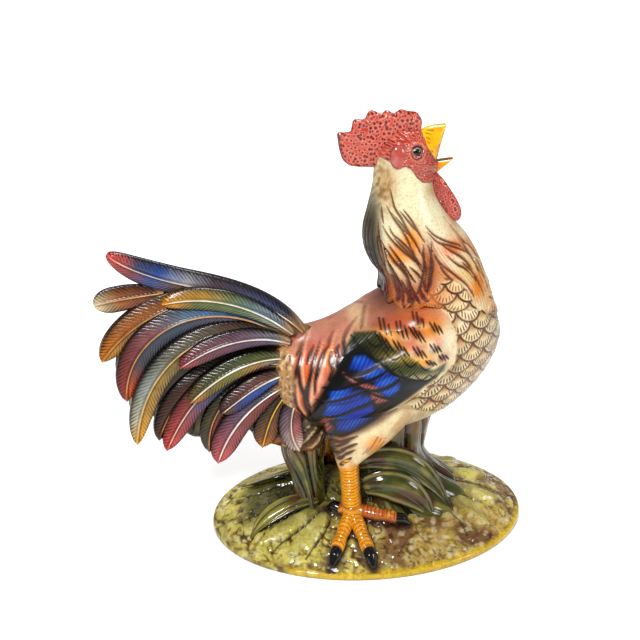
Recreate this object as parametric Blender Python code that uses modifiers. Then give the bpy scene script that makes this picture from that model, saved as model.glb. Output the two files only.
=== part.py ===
"""Crowing ceramic rooster on an oval grass mound, as the castings and pressings that are luted together.

Metres. +X is where the bird looks, +Y its left side, +Z up. The origin is on the table,
under the middle of the whole figurine. The right half is modelled and then mirrored.
"""

import math

import bmesh
import bpy
from mathutils import Matrix, Vector

# Fit between pieces, and walls of the hollow castings
GAP = 0.0003
SEAT_DEPTH = 0.012
WALL = 0.0045

# Oval mound
BASE_X = 0.046
BASE_LENGTH = 0.302
BASE_WIDTH = 0.216
BASE_HEIGHT = 0.0417
BASE_RIM = 0.0057
BASE_ROUND = 1.07
BASE_WALL = 0.0055
BASE_STEPS = 36

# Torso sections: x, top z, bottom z, half width
TORSO = [
    (-0.044, 0.192, 0.146, 0.024),
    (-0.040, 0.199, 0.132, 0.032),
    (-0.031, 0.203, 0.120, 0.038),
    (-0.014, 0.204, 0.113, 0.043),
    (0.008, 0.209, 0.107, 0.049),
    (0.030, 0.219, 0.103, 0.055),
    (0.055, 0.231, 0.102, 0.059),
    (0.080, 0.241, 0.104, 0.059),
    (0.104, 0.248, 0.113, 0.056),
    (0.125, 0.249, 0.127, 0.049),
    (0.142, 0.243, 0.142, 0.039),
    (0.155, 0.227, 0.158, 0.026),
    (0.163, 0.207, 0.173, 0.014),
    (0.1665, 0.195, 0.184, 0.006),
]
TORSO_SIDES = 24
# Above its middle the body is fuller than an ellipse, between these two stations and fading over a run
SHOULDER_FULLNESS = 0.45
SHOULDER_REAR = 0.050
SHOULDER_FRONT = 0.150
SHOULDER_RUN = 0.030
# Round opening up into the neck, how far it lies behind the middle of the hem, and its cutter's length
THROAT_RADIUS = 0.022
THROAT_BACK = 0.012
THROAT_LENGTH = 0.08

# Hackle cape sections, each tilted: back x, back z, front x, front z, half width
CAPE = [
    (0.046, 0.352, 0.097, 0.345, 0.020),
    (0.045, 0.335, 0.101, 0.326, 0.024),
    (0.041, 0.315, 0.112, 0.308, 0.030),
    (0.037, 0.296, 0.128, 0.290, 0.037),
    (0.038, 0.280, 0.140, 0.272, 0.042),
    (0.043, 0.266, 0.149, 0.252, 0.045),
    (0.049, 0.255, 0.156, 0.234, 0.046),
    (0.050, 0.244, 0.1635, 0.214, 0.0455),
]
CAPE_LOCKS = 13
CAPE_LOCK_DEPTH = 0.007
CAPE_SIDE_RISE = 0.006
# Grooves between the locks: full depth, and the rows where they begin and where they are full
CAPE_GROOVE = 0.0022
CAPE_GROOVE_ROWS = (2, 5)
# How far the hollow reaches below the hem
CAPE_OPEN_DROP = 0.03

# Head sections, the same way, from the neck to the crown
HEAD = [
    (0.046, 0.3523, 0.098, 0.3453, 0.0205),
    (0.048, 0.360, 0.100, 0.351, 0.0225),
    (0.052, 0.368, 0.096, 0.361, 0.0220),
    (0.058, 0.376, 0.091, 0.370, 0.0180),
    (0.066, 0.382, 0.086, 0.380, 0.0110),
]
HEAD_SIDES = 20
EYE_AT = (0.078, 0.367)
EYE_RADIUS = 0.0055
EYE_STANDS_OUT = 0.0022
LOBE_AT = (0.0625, 0.364)
LOBE_SIZE = (0.0075, 0.0050, 0.0110)

# Comb, seen from the side: x, z
COMB = [
    (0.070, 0.360), (0.048, 0.350), (0.025, 0.352), (0.018, 0.358), (0.015, 0.368), (0.013, 0.383),
    (0.025, 0.381), (0.027, 0.393), (0.037, 0.392), (0.040, 0.399), (0.044, 0.400), (0.051, 0.396),
    (0.056, 0.400), (0.062, 0.396), (0.068, 0.400), (0.074, 0.398), (0.082, 0.397), (0.087, 0.390),
    (0.086, 0.378), (0.080, 0.366),
]
COMB_THICKNESS = 0.0105
COMB_ROUND = 0.0025

# Open beak, seen from the side: base bottom, base top, tip; then half width at the base and at the tip
BEAK_UPPER = ((0.099, 0.348), (0.085, 0.381), (0.107, 0.385))
BEAK_LOWER = ((0.100, 0.343), (0.099, 0.354), (0.115, 0.3555))
BEAK_HALF_WIDTH = (0.0115, 0.0022)
LOWER_HALF_WIDTH = (0.0085, 0.0020)

# Wattle, seen from the side, and where its middle plane lies
WATTLE = [
    (0.094, 0.347), (0.103, 0.343), (0.111, 0.332), (0.119, 0.320), (0.124, 0.309), (0.122, 0.300),
    (0.114, 0.301), (0.104, 0.312), (0.094, 0.330),
]
WATTLE_Y = 0.0078
WATTLE_THICKNESS = 0.0085
WATTLE_ROUND = 0.0026

# Folded wing, from the shoulder to the tip: x of the lower edge, z, x of the upper edge, z, bulge
WING = [
    (0.109, 0.194, 0.106, 0.212, 0.002),
    (0.102, 0.175, 0.098, 0.220, 0.006),
    (0.086, 0.163, 0.080, 0.223, 0.009),
    (0.064, 0.151, 0.058, 0.220, 0.010),
    (0.041, 0.140, 0.034, 0.210, 0.009),
    (0.018, 0.131, 0.012, 0.193, 0.008),
    (0.000, 0.125, -0.004, 0.172, 0.006),
    (-0.011, 0.124, -0.013, 0.152, 0.005),
    (-0.016, 0.127, -0.017, 0.138, 0.003),
]
WING_EDGE = 0.0026
WING_ROWS = 6

# Legs: thigh sections by height: z, back x, front x, middle y, half depth
THIGH = [
    (0.150, -0.004, 0.092, 0.038, 0.018),
    (0.135, -0.005, 0.085, 0.039, 0.019),
    (0.120, -0.003, 0.070, 0.041, 0.018),
    (0.108, 0.000, 0.057, 0.043, 0.016),
    (0.097, 0.004, 0.041, 0.0445, 0.013),
    (0.088, 0.0065, 0.028, 0.0460, 0.0105),
    (0.083, 0.0080, 0.0262, 0.0463, 0.0090),
]
THIGH_SIDES = 16
ANKLE = (0.0205, 0.0500)
ANKLE_HEIGHT = 0.0395
SHANK_TOP = (0.0170, 0.0462, 0.096)
SHANK_RADIUS = (0.0086, 0.0090)
TOE_RADIUS = 0.0056
CLAW_LENGTH = 0.013
# Toe tips, x and y away from the middle plane
TOES = [(-0.007, 0.096), (0.031, 0.103), (0.073, 0.066), (-0.001, 0.037)]

# Grass that props the belly: z, back x, front x, half width
TUFT_FRONT = [
    (0.018, 0.018, 0.146, 0.066),
    (0.032, 0.022, 0.136, 0.058),
    (0.045, 0.026, 0.120, 0.048),
    (0.058, 0.029, 0.108, 0.042),
    (0.074, 0.032, 0.100, 0.036),
    (0.092, 0.034, 0.103, 0.031),
    (0.110, 0.036, 0.106, 0.027),
    (0.125, 0.040, 0.098, 0.022),
]
TUFT_REAR = [
    (0.018, -0.028, 0.008, 0.044),
    (0.036, -0.029, 0.004, 0.037),
    (0.054, -0.032, 0.003, 0.033),
    (0.072, -0.037, 0.003, 0.030),
    (0.088, -0.040, 0.004, 0.027),
    (0.104, -0.036, 0.004, 0.023),
]
TUFT_LEAVES = 11
# How deep the furrows between the upright leaves of a clump are
TUFT_FURROW = 0.0032
# Blades of grass: name, path from root to tip (x, y away from the middle plane, z), the way they face,
# width and thickness
BLADES = [
    ("blade_rear_{}",
     [(-0.006, 0.030, 0.040), (-0.040, 0.022, 0.038), (-0.062, 0.028, 0.024), (-0.074, 0.046, 0.014)],
     (0, -0.4, 0.9), 0.019, 0.009),
    ("blade_front_{}",
     [(0.028, 0.030, 0.076), (0.064, 0.040, 0.096), (0.096, 0.046, 0.072), (0.116, 0.046, 0.028)],
     (0, -1, 0.2), 0.019, 0.010),
    ("blade_low_{}",
     [(0.032, 0.040, 0.056), (0.060, 0.050, 0.070), (0.086, 0.054, 0.050), (0.100, 0.056, 0.020)],
     (0, -1, 0.3), 0.022, 0.010),
]
BLADE_STATIONS = 8

# Tail: the feathers of each side lie in layers beside a wedge that narrows to the rear and upwards
TAIL_X = -0.025
TAIL_Z = 0.190
TAIL_HALF = 0.0165
TAIL_TAPER = 0.068
TAIL_LEAN = 0.13
LAYER = 0.0048
# Towards the rump the tail is drawn in by this share, and sinks by a share of that, above a height
TAIL_PINCH = 0.35
TAIL_PINCH_RUN = 0.030
TAIL_PINCH_LOW = 0.150
TAIL_PINCH_HIGH = 0.200
TAIL_SINK = 0.445
# Outline of the wedge and of the coverts under it: x, z
TAIL_CORE = [
    (0.000, 0.200), (-0.040, 0.222), (-0.075, 0.238), (-0.110, 0.246), (-0.140, 0.245), (-0.165, 0.232),
    (-0.180, 0.205), (-0.172, 0.178), (-0.160, 0.152), (-0.150, 0.128), (-0.136, 0.120), (-0.124, 0.107),
    (-0.112, 0.106), (-0.100, 0.118), (-0.076, 0.120), (-0.059, 0.099), (-0.045, 0.094), (-0.026, 0.087),
    (-0.006, 0.083), (0.004, 0.092), (0.006, 0.130),
]
TAIL_CORE_ROUND = 0.0025
# The wedge is hollow between these two stations, as far up as the hollow keeps this half width
HOLLOW_REAR = -0.128
HOLLOW_FRONT = -0.014
HOLLOW_STATIONS = 7
HOLLOW_LEAST = 0.0025
# Feathers: name, layer, root x, root z, heading, turn and slackening in degrees, length, width
FEATHERS = [
    ("covert_{}_1", 3, -0.028, 0.210, 139, 45, 8, 0.122, 0.0200),
    ("covert_{}_2", 4, -0.031, 0.204, 158, 80, -24, 0.104, 0.0200),
    ("covert_{}_3", 3, -0.031, 0.188, 170, 84, -31, 0.102, 0.0210),
    ("covert_{}_4", 3, -0.035, 0.174, 189, 68, -42, 0.070, 0.0200),
    ("sickle_{}_1", 1, -0.032, 0.207, 130, 129, -25, 0.190, 0.0280),
    ("sickle_{}_2", 2, -0.032, 0.203, 140, 93, 39, 0.193, 0.0280),
    ("sickle_{}_3", 3, -0.032, 0.199, 141, 171, -48, 0.198, 0.0240),
    ("sickle_{}_4", 1, -0.032, 0.185, 171, 80, 0, 0.151, 0.0260),
    ("sickle_{}_5", 2, -0.032, 0.180, 163, 137, -55, 0.148, 0.0240),
    ("sickle_{}_6", 1, -0.032, 0.165, 168, 106, 0, 0.115, 0.0200),
    ("rump_{}_1", 2, -0.037, 0.161, 204, 48, 0, 0.097, 0.0260),
    ("rump_{}_2", 1, -0.030, 0.156, 216, 79, -41, 0.063, 0.0240),
    ("rump_{}_3", 2, -0.024, 0.154, 240, 39, 25, 0.058, 0.0220),
]
FEATHER_STATIONS = 9
FEATHER_ROOT = 0.028
FEATHER_DIVE = 0.40
FEATHER_EDGE = 0.45
# Feathers on the middle plane: root x, root z, heading, turn, slackening, length, width, half thickness
CREST_SICKLE = (-0.017, 0.202, 126, 137, -123, 0.190, 0.0250)
REAR_STUB = (-0.138, 0.248, 184, 7, 0, 0.062, 0.0240)
CREST_HALF = (0.0135, 0.0060)
STUB_HALF = (0.0045, 0.0035)

BIRD = bpy.data.collections.new("ceramic_rooster")
CUTTERS = bpy.data.collections.new("cutters")


def glaze(name, colour, roughness=0.18):
    """Glazed earthenware of one colour, given as sRGB hex digits."""
    channels = [int(colour[i:i + 2], 16) / 255 for i in (0, 2, 4)]
    linear = [c / 12.92 if c <= 0.04045 else ((c + 0.055) / 1.055) ** 2.4 for c in channels]
    material = bpy.data.materials.new(name)
    material.use_nodes = True
    shader = material.node_tree.nodes["Principled BSDF"]
    shader.inputs["Base Color"].default_value = (*linear, 1)
    shader.inputs["Roughness"].default_value = roughness
    shader.inputs["Metallic"].default_value = 0
    return material


def new_object(name, mesh, collection=None):
    piece = bpy.data.objects.new(name, mesh)
    (collection or CUTTERS).objects.link(piece)
    if piece.name in CUTTERS.objects:
        piece.hide_render = True
        piece.display_type = "WIRE"
    return piece


def from_bmesh(name, bm):
    bmesh.ops.recalc_face_normals(bm, faces=bm.faces)
    mesh = bpy.data.meshes.new(name)
    bm.to_mesh(mesh)
    bm.free()
    return new_object(name, mesh)


def loft(name, rings):
    """Closed skin over rings with the same number of points."""
    bm = bmesh.new()
    loops = [[bm.verts.new(point) for point in ring] for ring in rings]
    count = len(rings[0])
    for lower, upper in zip(loops, loops[1:]):
        for i in range(count):
            j = (i + 1) % count
            bm.faces.new((lower[i], lower[j], upper[j], upper[i]))
    for loop in (loops[0], loops[-1]):
        bm.faces.new(loop)
    bmesh.ops.triangulate(bm, faces=bm.faces, quad_method="SHORT_EDGE")
    return from_bmesh(name, bm)


def plate(name, outline, thickness, edge_round, middle_y=0.0, edge_steps=1):
    """Flat outline in the XZ plane, filled, thickened and rounded at its edge."""
    curve = bpy.data.curves.new(name, "CURVE")
    curve.dimensions = "2D"
    curve.fill_mode = "BOTH"
    curve.extrude = thickness / 2 - edge_round
    curve.bevel_depth = edge_round
    curve.bevel_resolution = edge_steps
    curve.offset = -edge_round
    spline = curve.splines.new("POLY")
    spline.points.add(len(outline) - 1)
    for point, (x, z) in zip(spline.points, outline):
        point.co = (x, z, 0, 1)
    spline.use_cyclic_u = True
    guide = new_object(name + "_outline", curve)
    guide.rotation_euler = (math.pi / 2, 0, 0)
    guide.location = (0, middle_y, 0)
    bpy.context.view_layer.update()
    piece = new_object(name, settled_mesh(guide))
    piece.data.transform(guide.matrix_world)
    bpy.data.objects.remove(guide)
    return piece


def settled_mesh(piece, weld=True):
    """The piece's mesh with its modifiers applied, and with loose caps welded."""
    bpy.context.view_layer.update()
    evaluated = piece.evaluated_get(bpy.context.evaluated_depsgraph_get())
    mesh = bpy.data.meshes.new_from_object(evaluated)
    if weld:
        bm = bmesh.new()
        bm.from_mesh(mesh)
        bmesh.ops.remove_doubles(bm, verts=bm.verts, dist=0.00002)
        bmesh.ops.recalc_face_normals(bm, faces=bm.faces)
        bm.to_mesh(mesh)
        bm.free()
    return mesh


def bodies(bm):
    """Connected groups of faces."""
    left = set(bm.faces)
    groups = []
    while left:
        stack = [left.pop()]
        group = list(stack)
        while stack:
            for edge in stack.pop().edges:
                for face in edge.link_faces:
                    if face in left:
                        left.remove(face)
                        stack.append(face)
                        group.append(face)
        groups.append(group)
    return groups


def reach(group):
    """Diagonal of the box around a group of faces."""
    points = [vert.co for face in group for vert in face.verts]
    low = Vector(map(min, zip(*points)))
    high = Vector(map(max, zip(*points)))
    return (high - low).length


def grown(piece, distance=GAP):
    """Copy of a solid with its skin moved out, as a cutter."""
    bm = bmesh.new()
    bm.from_mesh(piece.data)
    bm.normal_update()
    moves = [vert.normal * distance * min(vert.calc_shell_factor(), 2) for vert in bm.verts]
    for vert, move in zip(bm.verts, moves):
        vert.co += move
    return from_bmesh(piece.name + "_grown", bm)


def combine(piece, others, operation):
    for other in others:
        step = piece.modifiers.new(operation.lower(), "BOOLEAN")
        step.operation = operation
        step.solver = "MANIFOLD"
        step.object = other
    piece.data = settled_mesh(piece, False)
    piece.modifiers.clear()


def seat(piece, *carriers):
    """Cuts a piece back to its carriers with the gap between them, and keeps the largest body."""
    cutters = [grown(carrier) for carrier in carriers]
    combine(piece, cutters, "DIFFERENCE")
    for cutter in cutters:
        bpy.data.objects.remove(cutter)
    bm = bmesh.new()
    bm.from_mesh(piece.data)
    groups = sorted(bodies(bm), key=reach)
    for group in groups[:-1]:
        bmesh.ops.delete(bm, geom=group, context="FACES")
    bmesh.ops.dissolve_degenerate(bm, edges=bm.edges, dist=0.00001)
    bm.to_mesh(piece.data)
    bm.free()


def mirrored(mesh):
    """Copy of a mesh on the other side of the middle plane."""
    bm = bmesh.new()
    bm.from_mesh(mesh)
    bm.transform(Matrix.Scale(-1, 4, (0, 1, 0)))
    bmesh.ops.reverse_faces(bm, faces=bm.faces)
    copy = mesh.copy()
    bm.to_mesh(copy)
    bm.free()
    return copy


def finish(name, mesh, material, sharp=40):
    """The mesh as a named piece of the bird."""
    mesh.name = name
    mesh.materials.clear()
    mesh.materials.append(material)
    mesh.shade_smooth()
    mesh.set_sharp_from_angle(angle=math.radians(sharp))
    return new_object(name, mesh, BIRD)


def finish_pair(name, form, material, sharp=40):
    """The right piece, and its mirror image on the left."""
    finish(name.format("right"), form.data.copy(), material, sharp)
    finish(name.format("left"), mirrored(form.data), material, sharp)


def ellipse(centre, across, along, count, start=0.0):
    turns = [start + 2 * math.pi * i / count for i in range(count)]
    return [centre + across * math.cos(a) + along * math.sin(a) for a in turns]


def ground(x, y):
    """Height of the mound's skin."""
    reach_x = (x - BASE_X) / (BASE_LENGTH / 2)
    reach_y = y / (BASE_WIDTH / 2)
    inside = max(0.0, 1 - reach_x ** 2 - reach_y ** 2)
    return BASE_RIM + (BASE_HEIGHT - BASE_RIM) * inside ** BASE_ROUND


def turned(name, profile):
    """Closed solid of revolution, squeezed to the mound's width and moved to its place."""
    bm = bmesh.new()
    verts = [bm.verts.new((x, 0, z)) for x, z in profile]
    for first, second in zip(verts, verts[1:]):
        bm.edges.new((first, second))
    mesh = bpy.data.meshes.new(name)
    bm.to_mesh(mesh)
    bm.free()
    form = new_object(name, mesh)
    turn = form.modifiers.new("turn", "SCREW")
    turn.steps = turn.render_steps = BASE_STEPS
    turn.use_merge_vertices = True
    turn.merge_threshold = 0.00001
    form.data = settled_mesh(form)
    form.modifiers.clear()
    form.data.transform(Matrix.Scale(BASE_WIDTH / BASE_LENGTH, 4, (0, 1, 0)))
    form.data.transform(Matrix.Translation((BASE_X, 0, 0)))
    return form


def make_base():
    """Hollow oval mound, open underneath, standing on its foot rim."""
    radius = BASE_LENGTH / 2
    inner = radius - BASE_WALL
    fractions = [0, 0.25, 0.46, 0.65, 0.81, 0.93, 1]
    outside = [(radius * f, ground(BASE_X + radius * f, 0)) for f in fractions]
    roof = [(inner * f, ground(BASE_X + radius * f, 0) - BASE_WALL) for f in fractions]
    inside = [(r, z) for r, z in roof if z > BASE_RIM / 2]
    shell = turned("base_shell", [*outside, (radius, 0), (inner, 0), *reversed(inside)])
    finish("base_mound", shell.data.copy(), glaze("glazed_mound", "B7B04A"))
    bpy.data.objects.remove(shell)
    return turned("base_form", [*outside, (radius, -BASE_HEIGHT), (0, -BASE_HEIGHT)])


def fullness(x):
    """Power of the torso's upper half at a station: 2 is an ellipse."""
    rear = min(max((x - SHOULDER_REAR) / SHOULDER_RUN + 0.5, 0), 1)
    front = min(max((SHOULDER_FRONT - x) / SHOULDER_RUN + 0.5, 0), 1)
    return 2 + SHOULDER_FULLNESS * rear * front


def torso_rings(sections, inset=0.0):
    rings = []
    for x, top, bottom, half in sections:
        ring = []
        for i in range(TORSO_SIDES):
            angle = 2 * math.pi * i / TORSO_SIDES
            out, up = math.cos(angle), math.sin(angle)
            if up > 0:
                out = math.copysign(abs(out) ** (2 / fullness(x)), out)
                up = up ** (2 / fullness(x))
            ring.append(Vector((x, (half - inset) * out, (top + bottom) / 2 + ((top - bottom) / 2 - inset) * up)))
        rings.append(ring)
    return rings


def body_half_width(x, z):
    """How far the torso's skin stands from the middle plane."""
    x = min(max(x, TORSO[0][0]), TORSO[-1][0])
    for (x0, *low), (x1, *high) in zip(TORSO, TORSO[1:]):
        if x <= x1:
            share = (x - x0) / (x1 - x0)
            top, bottom, half = (a + (b - a) * share for a, b in zip(low, high))
            break
    middle = (top + bottom) / 2
    rise = (z - middle) / ((top - bottom) / 2)
    power = fullness(x) if rise > 0 else 2
    return half * max(1 - abs(rise) ** power, 0.16) ** (1 / power)


def tilted_ring(section, count, inset=0.0):
    """Ring from a back point to a front point, with a half width."""
    back_x, back_z, front_x, front_z, half = section
    back = Vector((back_x, 0, back_z))
    front = Vector((front_x, 0, front_z))
    along = (front - back) / 2
    along *= 1 - inset / along.length
    return ellipse((front + back) / 2, Vector((0, half - inset, 0)), along, count, math.pi / 2)


def make_torso():
    """Hollow torso, open at the throat under the hackle cape."""
    form = loft("torso_form", torso_rings(TORSO))
    shell = loft("torso_shell", torso_rings(TORSO))
    cavity = loft("torso_cavity", torso_rings(TORSO[2:-2:2], WALL))
    bm = bmesh.new()
    bmesh.ops.create_cone(bm, cap_ends=True, segments=20, radius1=THROAT_RADIUS, radius2=THROAT_RADIUS,
                          depth=THROAT_LENGTH)
    throat_x = (CAPE[-1][0] + CAPE[-1][2]) / 2 - THROAT_BACK
    bm.transform(Matrix.Translation((throat_x, 0, TORSO[6][1])))
    throat = from_bmesh("throat", bm)
    combine(shell, [cavity, throat], "DIFFERENCE")
    finish("torso", shell.data.copy(), glaze("glazed_torso", "D98A5C"))
    for cutter in (shell, cavity, throat):
        bpy.data.objects.remove(cutter)
    return form


def cape_rings(inset=0.0):
    return [tilted_ring(section, 2 * CAPE_LOCKS, inset) for section in CAPE]


def hem_offset(i):
    """Locks point down all round, and the hem rises between the shoulder and the breast."""
    share = abs(i / CAPE_LOCKS - 1)
    return CAPE_SIDE_RISE * math.exp(-((share - 0.68) / 0.2) ** 2) - CAPE_LOCK_DEPTH * (i % 2)


def grooved(rings):
    """Rings of the cape drawn in between the locks, more and more towards the hem."""
    begin, full = CAPE_GROOVE_ROWS
    for row, ring in enumerate(rings):
        depth = CAPE_GROOVE * min(max((row - begin) / (full - begin), 0), 1)
        centre = sum(ring, Vector()) / len(ring)
        for i in range(0, len(ring), 2):
            ring[i] = ring[i] + (centre - ring[i]).normalized() * depth
    return rings


def make_cape(torso_form):
    """Hollow neck whose long hackles end in pointed locks over the shoulders."""
    form = loft("cape_form", cape_rings())
    rings = grooved(cape_rings())
    hem = [point + Vector((0, 0, hem_offset(i))) for i, point in enumerate(rings[-1])]
    shell = loft("cape_shell", [*rings[:-1], hem])
    hollow = cape_rings(WALL + CAPE_GROOVE)[1::2]
    drop = Vector((0, 0, -CAPE_OPEN_DROP))
    cavity = loft("cape_cavity", [*hollow, [point + drop for point in hollow[-1]]])
    combine(shell, [cavity], "DIFFERENCE")
    seat(shell, torso_form)
    finish("hackle_cape", shell.data.copy(), glaze("glazed_hackles", "F0DFB0"))
    for cutter in (shell, cavity):
        bpy.data.objects.remove(cutter)
    return form


def make_head():
    form = loft("head_form", [tilted_ring(section, HEAD_SIDES) for section in HEAD])
    finish("head", form.data.copy(), glaze("glazed_face", "D9604C"))
    return form


def make_comb(head_form, cape_form):
    form = plate("comb_form", COMB, COMB_THICKNESS, COMB_ROUND)
    whole = new_object("comb_whole", form.data.copy())
    seat(form, head_form, cape_form)
    finish("comb", form.data.copy(), glaze("glazed_comb", "D8604A"))
    return whole


def beak_half(name, shape, half_width):
    """Beak half, a loft from its base in the face to its blunt tip."""
    low, high, tip = (Vector((x, 0, z)) for x, z in shape)
    middle = (low + high) / 2
    inward = (middle - tip).normalized() * SEAT_DEPTH
    rings = []
    for share in (-0.3, 0.0, 0.3, 0.6, 0.85, 1.0):
        spread = 1 - max(share, 0)
        if share < 0:
            centre = middle + inward
        else:
            centre = middle.lerp(tip, share)
        along = (high - low) / 2 * max(spread, 0.06)
        width = half_width[1] + (half_width[0] - half_width[1]) * math.sqrt(spread)
        rings.append(ellipse(centre, Vector((0, width, 0)), along, 12))
    return loft(name, rings)


def make_beak(head_form, cape_form, comb_form):
    upper = beak_half("beak_upper_form", BEAK_UPPER, BEAK_HALF_WIDTH)
    lower = beak_half("beak_lower_form", BEAK_LOWER, LOWER_HALF_WIDTH)
    whole_upper = new_object("beak_upper_whole", upper.data.copy())
    seat(upper, head_form, comb_form)
    seat(lower, head_form, whole_upper, cape_form)
    yellow = glaze("glazed_beak", "FFC400")
    finish("beak_upper", upper.data.copy(), yellow)
    finish("beak_lower", lower.data.copy(), yellow)
    bpy.data.objects.remove(whole_upper)
    return lower


def surface_y(form, x, z):
    """Distance of a form's skin from the middle plane, seen from the right."""
    hit, point, _, _ = form.ray_cast(Vector((x, -0.2, z)), Vector((0, 1, 0)))
    return abs(point.y) if hit else 0.0


def ball(name, centre, size, segments=12, rings=6):
    bm = bmesh.new()
    bmesh.ops.create_uvsphere(bm, u_segments=segments, v_segments=rings, radius=1)
    bm.transform(Matrix.LocRotScale(centre, None, Vector(size)))
    return from_bmesh(name, bm)


def make_eyes_and_lobes(head_form, cape_form):
    x, z = EYE_AT
    depth = surface_y(head_form, x, z) + EYE_STANDS_OUT - EYE_RADIUS
    eye = ball("eye_form", Vector((x, -depth, z)), (EYE_RADIUS,) * 3)
    whole_eye = new_object("eye_whole", eye.data.copy())
    seat(eye, head_form)
    finish_pair("eye_{}", eye, glaze("glazed_eye", "0C0B0B", 0.05))
    x, z = LOBE_AT
    lobe = ball("lobe_form", Vector((x, -surface_y(head_form, x, z), z)), LOBE_SIZE)
    seat(lobe, head_form, cape_form, whole_eye)
    finish_pair("earlobe_{}", lobe, glaze("glazed_earlobe", "C4707C"))


def make_wattles(carriers):
    form = plate("wattle_form", WATTLE, WATTLE_THICKNESS, WATTLE_ROUND, -WATTLE_Y)
    seat(form, *carriers)
    finish_pair("wattle_{}", form, glaze("glazed_wattle", "C94A3C"))


def make_wings(torso_form, cape_form):
    """Folded wing, a slab over the torso's side that swells to its middle."""
    rings = []
    for low_x, low_z, high_x, high_z, bulge in WING:
        outer = []
        inner = []
        for row in range(WING_ROWS):
            share = row / (WING_ROWS - 1)
            x = low_x + (high_x - low_x) * share
            z = low_z + (high_z - low_z) * share
            skin = body_half_width(x, z)
            swell = math.sqrt(max(0.0, 1 - (2 * share - 1) ** 2))
            outer.append(Vector((x, -(skin + WING_EDGE + bulge * swell), z)))
            inner.append(Vector((x, -(skin - SEAT_DEPTH), z)))
        rings.append(outer + inner[::-1])
    form = loft("wing_form", rings)
    whole = new_object("wing_whole", form.data.copy())
    seat(form, torso_form, cape_form)
    finish_pair("wing_{}", form, glaze("glazed_wing", "1B2430"))
    return whole


def level_ring(z, back, front, half, count, y=0.0):
    centre = Vector(((back + front) / 2, y, z))
    return ellipse(centre, Vector(((front - back) / 2, 0, 0)), Vector((0, half, 0)), count)


def make_legs(base_form, torso_form, wing_form):
    """Thigh, shank and four-toed foot of the right leg, and their mirror images."""
    thigh = loft("thigh_form", [level_ring(z, back, front, half, THIGH_SIDES, -y)
                                for z, back, front, y, half in THIGH])
    whole_thigh = new_object("thigh_whole", thigh.data.copy())
    seat(thigh, torso_form, wing_form)
    finish_pair("thigh_{}", thigh, glaze("glazed_thigh", "EBD9A8"))
    ankle = Vector((ANKLE[0], -ANKLE[1], ANKLE_HEIGHT))
    top = Vector((SHANK_TOP[0], -SHANK_TOP[1], SHANK_TOP[2]))
    shank = cone_between("shank_form", ankle, top, *SHANK_RADIUS)
    whole_shank = new_object("shank_whole", shank.data.copy())
    toes = [make_toe(ankle, Vector((x, -y, 0))) for x, y in TOES]
    foot = ball("foot_form", ankle, (SHANK_RADIUS[0] + 0.001,) * 3)
    combine(foot, toes, "UNION")
    for toe in toes:
        bpy.data.objects.remove(toe)
    whole_foot = new_object("foot_whole", foot.data.copy())
    seat(shank, whole_thigh, foot)
    finish_pair("shank_{}", shank, glaze("glazed_shank", "F5A000"))
    seat(foot, base_form)
    finish_pair("foot_{}", foot, glaze("glazed_foot", "EFA21A"))
    return [whole_thigh, whole_shank, whole_foot]


def cone_between(name, start, end, start_radius, end_radius):
    bm = bmesh.new()
    run = end - start
    bmesh.ops.create_cone(bm, cap_ends=True, segments=14, radius1=start_radius, radius2=end_radius,
                          depth=run.length)
    turn = Vector((0, 0, 1)).rotation_difference(run)
    bm.transform(Matrix.LocRotScale((start + end) / 2, turn, None))
    return from_bmesh(name, bm)


def make_toe(ankle, tip):
    """Toe that lies along the mound and ends in a claw, as a tapered tube."""
    curve = bpy.data.curves.new("toe", "CURVE")
    curve.dimensions = "3D"
    curve.bevel_depth = TOE_RADIUS
    curve.bevel_resolution = 1
    curve.use_fill_caps = True
    run = Vector((tip.x - ankle.x, tip.y - ankle.y, 0))
    claw = CLAW_LENGTH / run.length
    shares = [0.0, 0.35, 1 - claw, 1 - claw * 0.45, 1.0]
    sizes = [1.15, 1.05, 0.95, 0.62, 0.2]
    spline = curve.splines.new("POLY")
    spline.points.add(len(shares) - 1)
    for point, share, size in zip(spline.points, shares, sizes):
        x = ankle.x + run.x * share
        y = ankle.y + run.y * share
        rise = TOE_RADIUS * 0.72 * size
        lift = (ankle.z - ground(ankle.x, ankle.y) - rise) * max(0.0, 1 - share * 3)
        point.co = (x, y, ground(x, y) + rise + lift, 1)
        point.radius = size
    guide = new_object("toe_path", curve)
    toe = new_object("toe", settled_mesh(guide))
    bpy.data.objects.remove(guide)
    return toe


def blade(name, points, facing, width, thickness):
    """Blade of grass, a lens-shaped strip along a smooth path."""
    path = [Vector((x, -y, z)) for x, y, z in points]
    section = ((1, 0.1), (0.5, 0.75), (0, 1), (-0.5, 0.75), (-1, 0.1), (-0.6, -0.8), (0.6, -0.8))
    rings = []
    for i in range(BLADE_STATIONS):
        share = i / (BLADE_STATIONS - 1)
        place = bezier(path, share)
        ahead = (bezier(path, min(share + 0.02, 1)) - bezier(path, max(share - 0.02, 0))).normalized()
        side = ahead.cross(Vector(facing)).normalized()
        out = side.cross(ahead)
        half = width / 2 * (0.55 + 0.45 * math.sin(math.pi * min(share * 1.1, 1))) * (1 - share ** 4 * 0.85)
        flat = thickness / 2 * (1 - 0.6 * share)
        rings.append([place + side * half * across + out * flat * rise for across, rise in section])
    return loft(name, rings)


def bezier(points, share):
    while len(points) > 1:
        points = [a.lerp(b, share) for a, b in zip(points, points[1:])]
    return points[0]


def furrowed(ring):
    """Ring of a clump drawn in between its upright leaves."""
    centre = sum(ring, Vector()) / len(ring)
    return [point + (centre - point).normalized() * TUFT_FURROW * (i % 2) for i, point in enumerate(ring)]


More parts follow.
